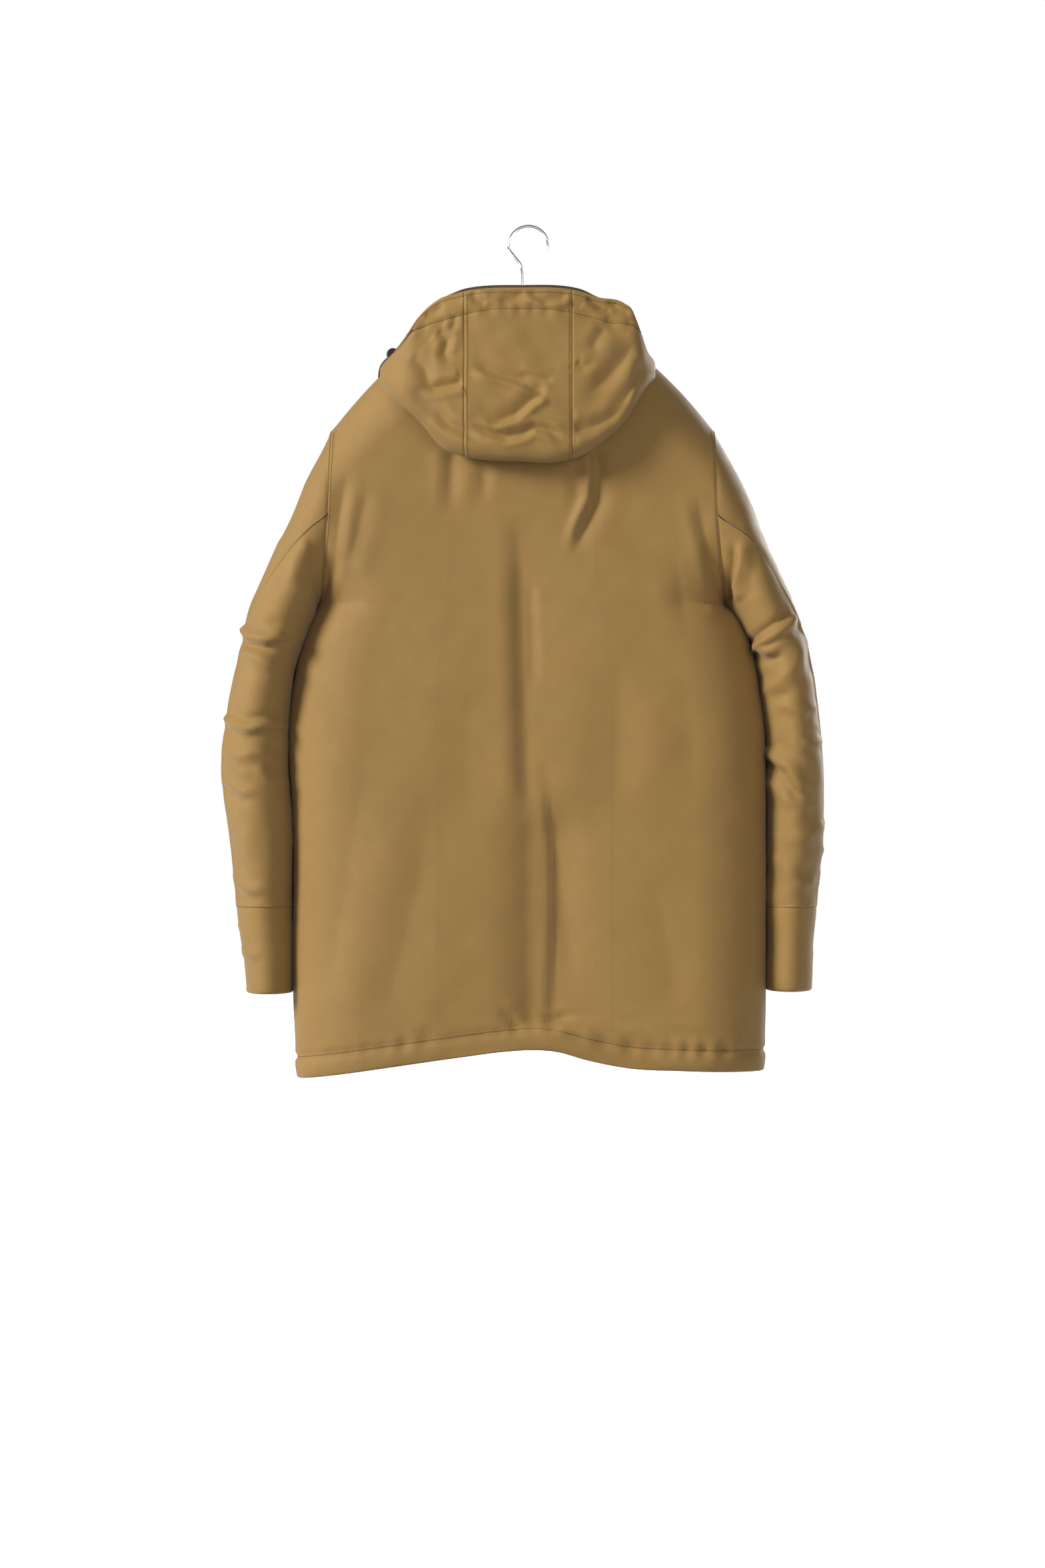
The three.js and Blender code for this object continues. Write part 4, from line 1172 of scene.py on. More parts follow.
def collar_cloth(first, last, inset, lift=(0.0, 1.0)):
    across = steps(abs(last - first) / 360 * 500 * MM, SMALL_PITCH)
    down = steps(50 * MM, 3 * MM)
    degrees, up = np.meshgrid(mix(first, last, across), mix(lift[1], lift[0], down))
    return Cloth(collar_points(degrees, up, np.full(up.shape, inset)), across, down, 1)


def make_collar():
    for name, first, last in COLLAR_PANELS:
        cloth = collar_cloth(first, last, 0.0)
        under = cloth.lengths()[1]
        swell = np.sin(np.pi * np.clip(under / under[-1:], 0, 1)) * 1.6 * MM
        wave = ripple(cloth.points * (1, 1, 0.3), 22 * MM, 91)
        cloth.push(hold_edges(cloth, swell + 0.7 * MM * wave, 9 * MM))
        cloth.push(cloth.edge_roll(depth=0.8 * MM))
        padded_piece(cloth.piece(f"{name}_collar_shell", 3.6 * MM), "coat", f"{name}_collar")
        for at in (0.1, 0.9):
            along = np.linspace(0.02, 0.98, 160)
            sew("collar_stitching", *cloth.trace(along, np.full(160, at)))
    lining = collar_cloth(94.5, 445.5, 4.5 * MM, (0.02, 0.94))
    lining.push(hold_edges(lining, -0.25 * MM + 0.25 * MM * ripple(lining.points, 14 * MM, 92), 4 * MM))
    piece = finish_piece(lining.piece("collar_lining_cloth", 0.6 * MM), "lining_fabric", "coat",
                         "collar_lining")
    declare_sheet(piece, lining)


make_collar()


# ---- the hood, hanging down the back as an open pouch ----
HOOD_LEFT = -181
HOOD_RIGHT = 168
HOOD_SEAMS = (-73, 62)
HOOD_OPENING = 30 * MM
HOOD_INSET = 3.2 * MM  # from the hood's outer face in to its lining
HOOD_WALL = 4 * MM
NECK_SEAM_HEIGHT = -136 * MM
HOOD_SHELL = 2 * MM
HOOD_LONG = 420 * MM
HOOD_SAG = 10 * MM  # how far its own weight lets the pouch down
HOOD_NARROW = 0.98
HOOD_TOP = (
    (-181, -170), (-160, -154), (-147, -139), (-133, -118), (-107, -94), (-80, -85), (0, -79),
    (71, -83), (94, -90), (127, -97), (138, -106), (146, -125), (157, -154), (168, -163),
)
HOOD_BOTTOM = (
    (-181, -190), (-163, -210), (-128, -246), (-100, -273), (-74, -285), (0, -291), (45, -293),
    (82, -281), (106, -264), (127, -243), (145, -217), (159, -194), (168, -182),
)
WALL_END = 0.45  # the hood's outer wall ends here, and its bottom fold at the next
FOLD_END = 0.65


def hood_clear(x):
    return 5 * MM + 7.5 * MM * smooth(110 * MM, 160 * MM, np.abs(x))


def back_surface(x, z):
    return HALF_DEPTH * fullness(shoulder_line(x) - z, 2)


def hood_points(x, down, inset):
    """Points of the hood: down from the brim, round the bottom fold and up to the neck seam."""
    top = curved_table(HOOD_TOP, x / MM) * MM
    bottom = curved_table(HOOD_BOTTOM, x / MM) * MM
    middle_x = (HOOD_LEFT + HOOD_RIGHT) / 2 * MM
    off = (x - middle_x) / ((HOOD_RIGHT - HOOD_LEFT) / 2 * MM + 2 * MM)
    opening = 2 * MM + HOOD_OPENING * np.sqrt(np.maximum(0, 1 - off * off))
    outer = hood_clear(x) + 2 * HOOD_WALL + opening + back_surface(x, bottom)
    turn = np.minimum(22 * MM, (top - bottom) / 3)
    turn_z = bottom + turn
    inner = hood_clear(x) + back_surface(x, turn_z)

    share = np.clip(down / WALL_END, 0, 1)
    wall_y = outer - 8 * MM * (1 - share) ** 2 - inset
    wall_z = mix(top, turn_z, share)
    angle = np.clip((down - WALL_END) / (FOLD_END - WALL_END), 0, 1) * np.pi
    fold_y = (outer + inner) / 2 + ((outer - inner) / 2 - inset) * np.cos(angle)
    fold_z = turn_z - (turn - inset) * np.sin(angle)
    seam = np.maximum(np.minimum(shoulder_line(x) - 12 * MM, NECK_SEAM_HEIGHT), turn_z + 1 * MM)
    back_z = mix(turn_z, seam, np.clip((down - FOLD_END) / (1 - FOLD_END), 0, 1))
    back_y = hood_clear(x) + back_surface(x, back_z) + inset

    y = np.where(down <= WALL_END, wall_y, np.where(down < FOLD_END, fold_y, back_y))
    z = np.where(down <= WALL_END, wall_z, np.where(down < FOLD_END, fold_z, back_z))
    sag = HOOD_SAG * (1 - smooth(FOLD_END - 0.05, 0.95, down))
    return np.stack([HOOD_NARROW * x, -y, z - sag], -1)


HOOD_FOLDS = [
    # folds that meet in a slanted V in the lower middle
    ([(-62, -172), (-40, -182), (-8, -192), (14, -202), (32, -206)], 3.6, 6, 0.7, (0.2, 0.15), 0.5),
    ([(30, -206), (10, -218), (-10, -236), (-44, -246)], 3.8, 6, 0.7, (0.15, 0.3), -0.5),
    ([(-6, -186), (20, -190), (40, -192)], 1.8, 5, 0.5),
    # creases along the bottom
    ([(-64, -246), (-44, -256), (-20, -262), (0, -258), (14, -250), (32, -254), (52, -264)],
     3.6, 4.5, 0.7, (0.15, 0.15)),
    ([(-110, -226), (-90, -246), (-66, -258), (-30, -272)], 2.6, 6, 0.6, (0.2, 0.3)),
    ([(62, -252), (84, -250), (106, -240), (128, -222)], 2.8, 7, 0.6, (0.1, 0.3)),
    # puckers and drags on the left panel
    ([(-124, -198), (-108, -202), (-84, -198), (-74, -194)], 3.2, 5, 0.6, (0.3, 0.05)),
    ([(-104, -130), (-92, -142), (-96, -160), (-86, -172)], 2.6, 5, 0.6, (0.1, 0.3)),
    ([(-136, -160), (-120, -178), (-112, -200)], 2.2, 7, 0.5),
    ([(-82, -112), (-84, -124), (-90, -136)], 1.8, 4, 0.5, (0.1, 0.4)),
    # soft drags on the right panel
    ([(140, -140), (122, -170), (92, -200), (74, -214)], 2.8, 9, 0.5, (0.2, 0.3)),
    ([(150, -164), (138, -196), (116, -228)], 3.0, 8, 0.5, (0.2, 0.3)),
    ([(100, -128), (90, -144), (84, -160)], 1.8, 6, 0.5, (0.1, 0.4)),
    ([(66, -170), (74, -176), (92, -172)], 1.8, 5, 0.5, (0.05, 0.4)),
    # gathers between the brim and the drawcord's tunnel
    ([(-62, -84), (-56, -94), (-44, -100)], 2.2, 5, 0.6, (0.1, 0.2)),
    ([(4, -84), (28, -94), (48, -92), (58, -86)], 3.0, 5, 0.7, (0.2, 0.2), 0.4),
    ([(-30, -96), (-10, -92), (4, -84)], 1.8, 5, 0.5),
    ([(78, -90), (96, -102), (110, -108)], 2.8, 5, 0.6, (0.1, 0.2)),
    ([(104, -94), (118, -106), (134, -110)], 2.0, 5, 0.5, (0.1, 0.2)),
    ([(-120, -112), (-108, -110), (-96, -100)], 2.0, 5, 0.5, (0.1, 0.2)),
]
TUNNEL = (
    (-160, -152), (-142, -136), (-120, -126), (-98, -119), (-72, -112), (-47, -107), (0, -105),
    (23, -105), (71, -112), (106, -121), (145, -132), (158, -150),
)


def tunnel_line(x):
    return curved_table(TUNNEL, x / MM) * MM - HOOD_SAG


def on_wall(down):
    """1 on the hood's outer wall, and 0 from its bottom fold on."""
    return 1 - smooth(WALL_END + 0.02, WALL_END + 0.1, down)


def hood_creases(points, down):
    """The drawn folds of the outer wall, let down with the pouch by its sag."""
    return folded(points + (0, 0, HOOD_SAG), HOOD_FOLDS) * on_wall(down)


def hood_field(points, down):
    """The outer wall's folds, and the tunnel's pulled-in line with its small gathers."""
    x, z = points[..., 0], points[..., 2]
    off = z - tunnel_line(x)
    gather = np.sin(x / (3.4 * MM) + 2.5 * np.sin(x / (26 * MM)))
    line = -1.1 * MM * np.exp(-((off / (2 * MM)) ** 2))
    puckers = 0.7 * MM * gather * np.exp(-((off / (8 * MM)) ** 2))
    tube = 1.4 * MM * np.exp(-(((off - 11 * MM) / (8 * MM)) ** 2))
    soft = 1.6 * MM * ripple(points, 46 * MM, 77)
    fine = 0.5 * MM * ripple(points, 17 * MM, 78)
    seam = (line + puckers + tube + fine) * on_wall(down)
    return 1.15 * hood_creases(points, down) + seam + soft


def make_hood():
    trim = 0.15
    first, second = HOOD_SEAMS
    panels = {
        "left": (HOOD_LEFT, first - trim),
        "centre": (first + trim, second - trim),
        "right": (second + trim, HOOD_RIGHT),
    }
    down = steps(HOOD_LONG, HOOD_PITCH)
    made = {}
    for name, (low, high) in panels.items():
        across = steps((high - low) * MM, HOOD_PITCH)
        x, level = np.meshgrid(mix(low, high, across) * MM, down)
        cloth = Cloth(hood_points(x, level, np.zeros(x.shape)), across, down, -1)
        base = cloth.points.copy()
        over, under = cloth.lengths()
        ends = smooth(0, 5 * MM, under) * smooth(0, 12 * MM, under[-1:] - under)
        if name != "centre":
            from_end = over if name == "left" else over[:, -1:] - over
            ends = ends * smooth(0, 14 * MM, from_end)
        cloth.push(hood_field(base, level) * ends)
        cloth.push(cloth.edge_roll(depth=0.7 * MM, wide=1.2 * MM))
        padded_piece(cloth.piece(f"hood_{name}_shell", HOOD_SHELL), "hood", f"hood_{name}_panel")
        made[name] = cloth

    across = steps((HOOD_RIGHT - HOOD_LEFT) * MM, 4 * MM)
    rows = steps(HOOD_LONG, 4 * MM)
    x, level = np.meshgrid(mix(HOOD_LEFT + 1, HOOD_RIGHT - 1, across) * MM, rows)
    lining = Cloth(hood_points(x, level, np.full(x.shape, HOOD_INSET)), across, rows, -1)
    base = lining.points.copy()
    follow = 0.9 * hood_creases(base, level) + 1.6 * MM * ripple(base, 46 * MM, 77)
    under = lining.lengths()[1]
    lining.push(hold_edges(lining, follow, 14 * MM) - 0.6 * MM)
    # the lining's top edge rises in the middle to show above the brim, in its painted-shade colour
    rise = 3.5 * MM * np.exp(-((under / (6 * MM)) ** 2)) * smooth(100 * MM, 70 * MM, np.abs(base[..., 0]))
    lining.points = lining.points + rise[..., None] * (0, 0, 1)
    piece = finish_piece(lining.piece("hood_lining_cloth", 0.7 * MM), "lining_fabric", "hood",
                         "hood_lining")
    declare_sheet(piece, lining)
    return made


HOOD = make_hood()


# ---- flat sewn parts: the storm flap, the pockets and their flaps ----
def flap_cloth(low, high, y, radius, wave, seed):
    """A flat panel's outer face, from (x, z) low to high, with rounded corners."""
    wide, tall = high[0] - low[0], high[1] - low[1]
    across, down = steps(wide, 3 * MM), steps(tall, 3 * MM)
    end = np.minimum(down, 1 - down) * tall
    cut = radius - np.sqrt(np.maximum(0, radius**2 - np.maximum(0, radius - end) ** 2))
    x = mix((low[0] + cut)[:, None], (high[0] - cut)[:, None], across[None, :])
    z = np.broadcast_to((high[1] - down * tall)[:, None], x.shape)
    cloth = Cloth(np.stack([x, np.full(x.shape, y), z], -1), across, down)
    soft = wave * ripple(cloth.points, 42 * MM, seed)
    over, under = cloth.lengths()
    edge = np.minimum(np.minimum(over, over[:, -1:] - over), np.minimum(under, under[-1:] - under))
    channel = -0.5 * MM * np.exp(-(((edge - 6 * MM) / (1.6 * MM)) ** 2))
    return cloth.push(soft + channel).push(cloth.edge_roll(depth=0.7 * MM))


def flap_stitches(group, cloth, inset, sides=("left", "right", "low")):
    over, under = cloth.lengths()
    i, j = inset / over[:, -1].max(), inset / under[-1].max()
    runs = {
        "left": (np.full(240, i), np.linspace(j, 1 - j, 240)),
        "right": (np.full(240, 1 - i), np.linspace(j, 1 - j, 240)),
        "low": (np.linspace(i, 1 - i, 90), np.full(90, 1 - j)),
        "top": (np.linspace(i, 1 - i, 90), np.full(90, j)),
    }
    for name in sides:
        sew(group, *cloth.trace(*runs[name]))


def sweep(name, centres, halves, axis, exponent=0.45, around=28):
    """A rounded bar through centres, with half sizes across it, along axis 0 for X or 2 for Z."""
    angles = np.linspace(0, 2 * np.pi, around + 1)[:-1]
    second = 2 if axis == 0 else 0
    rows = np.zeros((len(centres), around, 3)) + np.array(centres)[:, None, :]
    halves = np.array(halves)
    rows[..., 1] += power_of(np.cos(angles), exponent)[None, :] * halves[:, :1]
    rows[..., second] += power_of(np.sin(angles), exponent)[None, :] * halves[:, 1:]
    points = rows.reshape(-1, 3)
    faces = quads(len(centres), around, 0, True)
    faces.append(list(range(around)))
    faces.append(list(range(len(points) - 1, len(points) - around - 1, -1)))
    over = np.broadcast_to(angles[None, :] / np.pi * halves.max(), rows.shape[:2])
    uvs = np.stack([over, rows[..., axis]], -1).reshape(-1, 2)
    piece = mesh_piece(name, points, faces, uvs)
    right_way_out(piece)
    return piece


def padded_strip(name, low, high, node, axis):
    """A sewn welt that fills its CAD box, rounded at its edges and slightly uneven."""
    low, high = np.array(low), np.array(high)
    places = steps(high[axis] - low[axis], 3 * MM)
    centres = np.broadcast_to((low + high) / 2, (len(places), 3)).copy()
    centres[:, axis] = mix(low[axis], high[axis], places)
    second = 2 if axis == 0 else 0
    halves = np.stack([np.full(len(places), (high - low)[1] / 2),
                       np.full(len(places), (high - low)[second] / 2)], -1)
    pinch = 1 - 0.25 * np.exp(-((np.minimum(places, 1 - places) * (high - low)[axis] / MM) ** 2))
    uneven = 1 - 0.05 * (1 + np.sin(places * 90)) * 0.5
    piece = sweep(name, centres, halves * (pinch * uneven)[:, None], axis)
    padded_piece(piece, "coat", node)


FLAP_LOW = (-46 * MM, -1004 * MM)
FLAP_HIGH = (32 * MM, -128 * MM)
FLAP_FRONT = 76.4 * MM
FLAP_THICK = 3.2 * MM
WELT_WIDE = 7 * MM
WELT_SHORT = 32 * MM  # how far below the flap's top the welt starts
POCKET_NEAR, POCKET_FAR = 62 * MM, 202 * MM
POCKET_TOP, POCKET_BOTTOM = -662 * MM, -838 * MM
POCKET_BACK, POCKET_FRONT = 66.3 * MM, 75.3 * MM
POCKET_FLAP_TOP, POCKET_FLAP_BOTTOM = -642 * MM, -712 * MM
POCKET_FLAP_FRONT, POCKET_FLAP_THICK = 80 * MM, 2.6 * MM


def make_storm_flap():
    cloth = flap_cloth(FLAP_LOW, FLAP_HIGH, FLAP_FRONT - 0.4 * MM, 6 * MM, 0.35 * MM, 5)
    piece = cloth.piece("storm_flap_shell", FLAP_THICK - 0.6 * MM)
    padded_piece(piece, "storm_flap", "storm_flap")
    flap_stitches("storm_flap_stitching", cloth, 5.5 * MM, ("right", "low", "top"))
    flap_stitches("storm_flap_stitching", cloth, 3 * MM, ("left",))
    low = (FLAP_LOW[0] - GAP - WELT_WIDE, POCKET_BACK + GAP, FLAP_LOW[1])
    high = (FLAP_LOW[0] - GAP, FLAP_FRONT, FLAP_HIGH[1] - WELT_SHORT)
    padded_strip("storm_flap_welt_shell", low, high, "storm_flap_welt", 2)


def pocket_face(x, z, low, high):
    """How far forward the pocket is: flat in front, and turned back to the coat at three edges."""
    side = np.minimum(x - low[0], high[0] - x)
    edge = np.minimum(side, z - low[1])
    turn = 4 * MM
    power = 3.2
    share = np.clip(edge / turn, 0, 1)
    return POCKET_BACK + (POCKET_FRONT - POCKET_BACK) * (1 - (1 - share) ** power) ** (1 / power)


def make_pocket(name, side):
    low = (min(side * POCKET_NEAR, side * POCKET_FAR), POCKET_BOTTOM)
    high = (max(side * POCKET_NEAR, side * POCKET_FAR), POCKET_TOP)
    wide, tall = high[0] - low[0], high[1] - low[1]
    fine = np.array((0.03, 0.12, 0.35, 0.8, 1.5, 2.6, 4)) * MM
    across = np.unique(np.concatenate([[0, 1], fine / wide, 1 - fine / wide,
                                       np.linspace(5 * MM / wide, 1 - 5 * MM / wide, 46)]))
    down = np.unique(np.concatenate([[0, 1], 1 - fine / tall, np.linspace(0, 0.97, 58)]))
    x, z = np.meshgrid(mix(low[0], high[0], across), mix(high[1], low[1], down))
    cloth = Cloth(np.stack([x, pocket_face(x, z, low, high), z], -1), across, down)
    middle = np.clip(cloth.points[..., 1] - POCKET_FRONT + 1 * MM, 0, None) / MM
    bulge = 0.8 * MM * ripple(cloth.points, 48 * MM, 40 + side) * np.clip(middle, 0, 1)
    cloth.push(np.minimum(bulge, 0.7 * MM))
    padded_piece(cloth.piece(f"{name}_pocket_shell", 1.1 * MM), "coat", f"{name}_pocket")
    group = f"{name}_pocket_stitching"
    for inset in (6 * MM, 12 * MM):
        flap_stitches(group, cloth, inset, ("left", "right", "low"))
    flap_stitches(group, cloth, 20 * MM, ("top",))

    low = (low[0] - 4 * MM, POCKET_FLAP_BOTTOM)
    high = (high[0] + 4 * MM, POCKET_FLAP_TOP)
    flap = flap_cloth(low, high, POCKET_FLAP_FRONT - 0.3 * MM, 5 * MM, 0.3 * MM, 50 + side)
    piece = flap.piece(f"{name}_pocket_flap_shell", POCKET_FLAP_THICK - 0.5 * MM)
    padded_piece(piece, f"{name}_pocket_flap", f"{name}_pocket_flap")
    flap_stitches(f"{name}_flap_stitching", flap, 5 * MM)
    padded_strip(f"{name}_pocket_welt_shell", (low[0], POCKET_BACK, POCKET_FLAP_TOP + GAP),
                 (high[0], POCKET_FLAP_FRONT, POCKET_FLAP_TOP + GAP + 6 * MM),
                 f"{name}_pocket_welt", 0)
    stitching(group, "coat")
    stitching(f"{name}_flap_stitching", f"{name}_pocket_flap")


make_storm_flap()
stitching("storm_flap_stitching", "storm_flap")
for name, side in SIDES:
    make_pocket(name, side)


# ---- the snaps: a pressed cap outside each flap, and a stud on the coat below it ----
CAP_PROFILE = ((7.2, 0), (7.5, 0.3), (7.5, 0.9), (7.0, 1.35), (6.3, 1.5), (5.9, 1.2), (5.4, 1.15),
               (5.0, 1.5), (3.4, 2.05), (1.6, 2.3), (0.4, 2.38))
STUD_BASE = ((6, 0), (6, 0.6), (5.2, 0.9), (3.2, 1.0))
STORM_SNAP_X = 22 * MM
STORM_SNAP_HEIGHTS = (-240 * MM, -560 * MM, -880 * MM)
POCKET_SNAP_X, POCKET_SNAP_Z = 132 * MM, -694 * MM


def snap(prefix, x, z, coat_y, flap_in, flap_out, flap_body):
    """A cap on the flap's outside at flap_out, and a stud from the coat up to flap_in."""
    cap = lathe(f"{prefix}_cap_metal", CAP_PROFILE, (x, flap_out + GAP, z))
    finish_piece(cap, "snap_metal", flap_body, f"{prefix}_cap")
    tall = (flap_in - coat_y - 2 * GAP) / MM
    stem = ((2.9, 1.3), (2.9, tall - 1.6), (3.4, tall - 1.1), (3.4, tall - 0.5), (2.8, tall))
    stud = lathe(f"{prefix}_stud_metal", STUD_BASE + stem, (x, coat_y + GAP, z))
    finish_piece(stud, "snap_metal", "coat", f"{prefix}_stud")


for number, height in enumerate(STORM_SNAP_HEIGHTS, 1):
    snap(f"storm_flap_snap_{number}", STORM_SNAP_X, height, HALF_DEPTH,
         FLAP_FRONT - FLAP_THICK, FLAP_FRONT, "storm_flap")
for name, side in SIDES:
    snap(f"{name}_pocket_snap", side * POCKET_SNAP_X, POCKET_SNAP_Z, POCKET_FRONT,
         POCKET_FLAP_FRONT - POCKET_FLAP_THICK, POCKET_FLAP_FRONT, f"{name}_pocket_flap")


# ---- the zip: two tapes, two rows of teeth; the slider and its pull are the CAD's own ----
ZIP_Y = 65 * MM
ZIP_TOP = -78 * MM
ZIP_BOTTOM = -1020 * MM
TOOTH_PITCH = 2.8 * MM
TOOTH_HALF = 1.4  # half a tooth's depth, in millimetres
TAPE_NEAR, TAPE_FAR = 3.8 * MM, 14.7 * MM


def zip_tape(name, side):
    low, high = sorted((side * TAPE_NEAR, side * TAPE_FAR))
    across = steps(high - low, 1.6 * MM)
    down = steps(ZIP_TOP - ZIP_BOTTOM, 5 * MM)
    x, z = np.meshgrid(mix(low, high, across), mix(ZIP_TOP, ZIP_BOTTOM, down))
    cloth = Cloth(np.stack([x, np.full(x.shape, ZIP_Y + 0.45 * MM), z], -1), across, down)
    ribs = 0.12 * MM * np.cos((np.abs(x) - TAPE_NEAR) / (1.3 * MM) * np.pi)
    cloth.push(ribs + 0.12 * MM * ripple(cloth.points, 25 * MM, 8))
    piece = cloth.piece(f"{name}_tape", 0.8 * MM)
    finish_piece(piece, "zip_tape", "coat", f"{name}_zip_tape")
    declare_sheet(piece, cloth)
    sew("zip_stitching", *cloth.trace(np.full(400, 0.75), np.linspace(0.002, 0.998, 400)))


def zip_teeth(name, side):
    """A row of moulded teeth, each a rounded block with a narrower head past the middle."""
    start = ZIP_TOP - 2 * MM - (TOOTH_PITCH / 2 if side > 0 else 0)
    heights = np.arange(start, ZIP_BOTTOM + 5 * MM, -TOOTH_PITCH)
    outline = ((3.5, 0.72), (2.0, 0.72), (1.0, 0.5), (0.2, 0.62), (-0.6, 0.62), (-0.9, 0.35))
    ring = [*outline, *((out, -half) for out, half in outline[::-1])]
    shape = [(side * out, deep, half) for deep in (-TOOTH_HALF, TOOTH_HALF) for out, half in ring]
    count = len(ring)
    sides = quads(2, count, 0, True)
    middle = np.array([(0, ZIP_Y, height) for height in heights])
    points = (middle[:, None, :] + np.array(shape) * MM).reshape(-1, 3)
    faces = []
    for tooth in range(len(heights)):
        first = tooth * 2 * count
        faces += [[first + corner for corner in face] for face in sides]
        faces.append([first + i for i in range(count)][::-1])
        faces.append([first + count + i for i in range(count)])
    piece = mesh_piece(f"{name}_teeth", points, faces, flat=True)
    right_way_out(piece)
    finish_piece(piece, "zip_metal", "coat", f"{name}_zip_teeth")


for name, side in SIDES:
    zip_tape(name, side)
    zip_teeth(name, side)
stitching("zip_stitching", "coat")


# ---- the hanger: a bent chrome wire, its ferrule and a shaped wooden bar ----
WIRE = 1.75
LOOP_RADIUS = 24.6
LOOP_CENTRE = np.array((7.5, 0, WIRE - LOOP_RADIUS))
BAR_BELOW = 21 * MM  # how far the bar's top is below the coat's shoulder line
BAR_HALF = 198 * MM


def make_hanger():
    stem = [(0, 0, -123), (0, 0, -90), (0, 0, -56), (-2.5, 0, -46.5), (-11, 0, -35.5)]
    turns = np.radians(np.linspace(190, -14, 13))
    loop = np.stack([np.cos(turns), 0 * turns, np.sin(turns)], -1) * LOOP_RADIUS + LOOP_CENTRE
    route = through(np.concatenate([stem, loop]) * MM, 10)
    finish_piece(tube("hook_wire", route, WIRE * MM), "hook_chrome", "hook", "hanger_hook")

    base = shoulder_line(0) - BAR_BELOW + GAP
    profile = ((2.15, 0), (7.6, 0), (8, 0.4), (8, 1.3), (7.2, 1.8), (5.0, 2.6), (4.6, 3.4),
               (4.6, 10.2), (4.1, 11), (2.15, 11), (2.15, 0))
    ferrule = lathe("hook_ferrule", profile, (0, 0, 0), caps=False)
    turn = [(x, -z, y + base) for x, y, z in (v.co for v in ferrule.data.vertices)]
    ferrule.data.vertices.foreach_set("co", np.array(turn, dtype=np.float32).ravel())
    right_way_out(ferrule)
    finish_piece(ferrule, "hook_chrome", "coat", "hanger_ferrule")

    out = np.linspace(-1, 1, 81)
    x = out * BAR_HALF
    deep = mix(30, 17, np.abs(out)) * MM
    ends = np.sqrt(np.clip(1 - np.abs(out) ** 24, 0.02, 1))
    centres = np.stack([x, 0 * x, shoulder_line(x) - BAR_BELOW - deep / 2], -1)
    halves = np.stack([5.5 * MM * ends, deep / 2 * ends], -1)
    bar = sweep("hanger_wood", centres, halves, 0, 0.6, 32)
    finish_piece(bar, "bar_wood", "coat", "hanger_bar")


make_hanger()


# ---- the topstitching on the coat, the sleeves and the hood ----
def beside(cloth, edge, distance, low, high, count=260):
    """A run beside a side edge (0 or 1), that far in from it, between two places down."""
    down = np.linspace(low, high, count)
    over = cloth.lengths()[0]
    rows = np.interp(down, cloth.down, np.arange(len(cloth.down)))
    across = []
    for row in np.round(rows).astype(int):
        length = over[row]
        target = distance if edge == 0 else length[-1] - distance
        across.append(np.interp(target, length, cloth.across))
    return cloth.trace(np.array(across), down)


def sew_hem(cloth, low, high):
    across = np.linspace(low, high, 300)
    places = cloth.trace(across, np.full(300, 0.99))[0]
    down = cloth.down_at(across, hem_line(places[:, 0]) + HEM_STITCH)
    sew("coat_stitching", *cloth.trace(across, down))


def sew_coat():
    sew_hem(BACK, 0.004, 0.996)
    for edge in (0, 1):
        sew("coat_stitching", *beside(BACK, edge, 6 * MM, 0.06, 0.485))
    for cloth in FRONTS.values():
        sew_hem(cloth, 0.02, 0.995)
        sew("coat_stitching", *beside(cloth, 1, 6 * MM, 0.06, 0.485))
        sew("coat_stitching", *beside(cloth, 0, 4 * MM, 0.01, 0.99, 400))
    stitching("coat_stitching", "coat")
    stitching("collar_stitching", "coat")


def sew_sleeve(name, side):
    parts = SLEEVES[side]
    group = f"{name}_sleeve_stitching"
    sew(group, *beside(parts["upper"], 1, 4.5 * MM, 0.02, 0.995, 400))
    blended = stitching(group, None)
    sleeve_blend(blended)
    cuff = parts["cuff"]
    around = np.linspace(0, 0.999, 200)
    last = cuff.down[cuff.down <= 1][-1]
    for distance in (4 * MM, 96 * MM):
        sew(f"{name}_cuff_stitching", *cuff.trace(around, np.full(200, distance / CUFF_LONG * last)))
    stitching(f"{name}_cuff_stitching", f"{name}_sleeve")


def sew_hood():
    for name, cloth in HOOD.items():
        across = np.linspace(0.03 if name == "left" else 0.004, 0.97 if name == "right" else 0.996, 160)
        places = cloth.trace(across, np.full(160, 0.2))[0]
        tunnel = cloth.down_at(across, tunnel_line(places[:, 0]))
        sew("hood_stitching", *cloth.trace(across, tunnel))
        sew("hood_stitching", *cloth.trace(across, np.full(160, 0.014)))
    for edge in (0, 1):
        sew("hood_stitching", *beside(HOOD["centre"], edge, 4 * MM, 0.01, 0.62, 240))
    stitching("hood_stitching", "hood")


sew_coat()
for name, side in SIDES:
    sew_sleeve(name, side)
sew_hood()


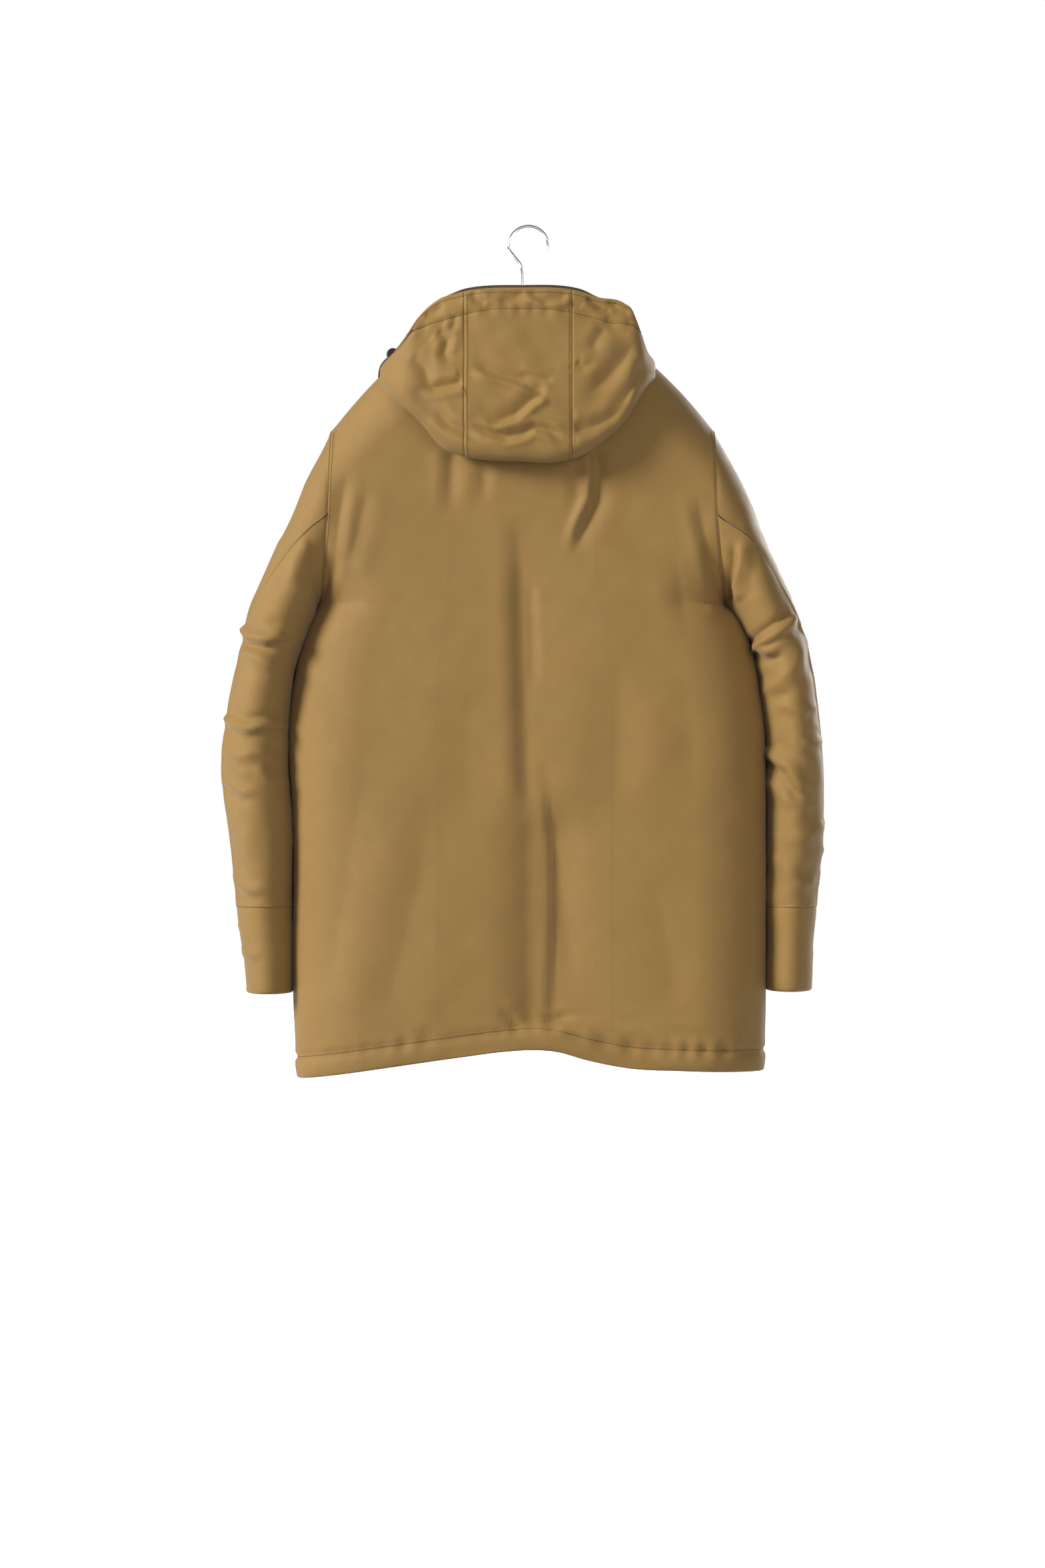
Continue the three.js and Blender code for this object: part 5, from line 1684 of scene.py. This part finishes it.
# ---- the CAD's own hard parts, with their finishes ----
for node, slot in (("zip_slider", "zip_metal"), ("zip_pull", "zip_metal"),
                   ("left_cord_lock", "lock_plastic"), ("right_cord_lock", "lock_plastic"),
                   ("left_lock_button", "lock_plastic"), ("right_lock_button", "lock_plastic")):
    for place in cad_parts[node].material_slots:
        place.material = LOOKS[slot]


# ---- the pale floor and the soft studio light ----
def light(name, place, aim, size, power):
    lamp = bpy.data.lights.new(name, "AREA")
    lamp.shape = "DISK"
    lamp.size = size
    lamp.energy = power
    made = bpy.data.objects.new(name, lamp)
    made.location = place
    made.rotation_euler = (Vector(aim) - Vector(place)).to_track_quat("-Z", "Y").to_euler()
    bpy.context.scene.collection.objects.link(made)


FLOOR_HEIGHT = CAD_BOX[0][2] - 140 * MM
FLOOR_REACH = 9
corners = ((-1, -1), (1, -1), (1, 1), (-1, 1))
floor_points = [(x * FLOOR_REACH, y * FLOOR_REACH, FLOOR_HEIGHT) for x, y in corners]
floor = mesh_piece("studio_floor", floor_points, [(0, 1, 2, 3)])
floor_look = Look("floor_paint", (0.9, 0.9, 0.9), 0.8, Emission_Color=(1, 1, 1, 1),
                  Emission_Strength=0.75)
floor.visible_diffuse = False
floor.data.materials.append(floor_look.material)

light("key_light", (-6.6, -3.4, 2.4), (0, 0, -0.6), 2.6, 830)
light("fill_light", (1.6, -3.6, 0.2), (0, 0, -0.6), 2.4, 40)
light("front_light", (1.8, 3.2, 0.2), (0, 0, -0.6), 1.8, 95)
world = bpy.data.worlds.new("studio")
bpy.context.scene.world = world
world.use_nodes = True
backdrop = world.node_tree.nodes["Background"]
backdrop.inputs["Color"].default_value = (1, 1, 1, 1)
seen = world.node_tree.nodes.new("ShaderNodeLightPath")
strength = world.node_tree.nodes.new("ShaderNodeMapRange")
strength.inputs["To Min"].default_value = 0.25  # what the studio's walls light the coat with
strength.inputs["To Max"].default_value = 1.0
world.node_tree.links.new(seen.outputs["Is Camera Ray"], strength.inputs["Value"])
world.node_tree.links.new(strength.outputs["Result"], backdrop.inputs["Strength"])
bpy.context.scene.view_settings.view_transform = "Standard"
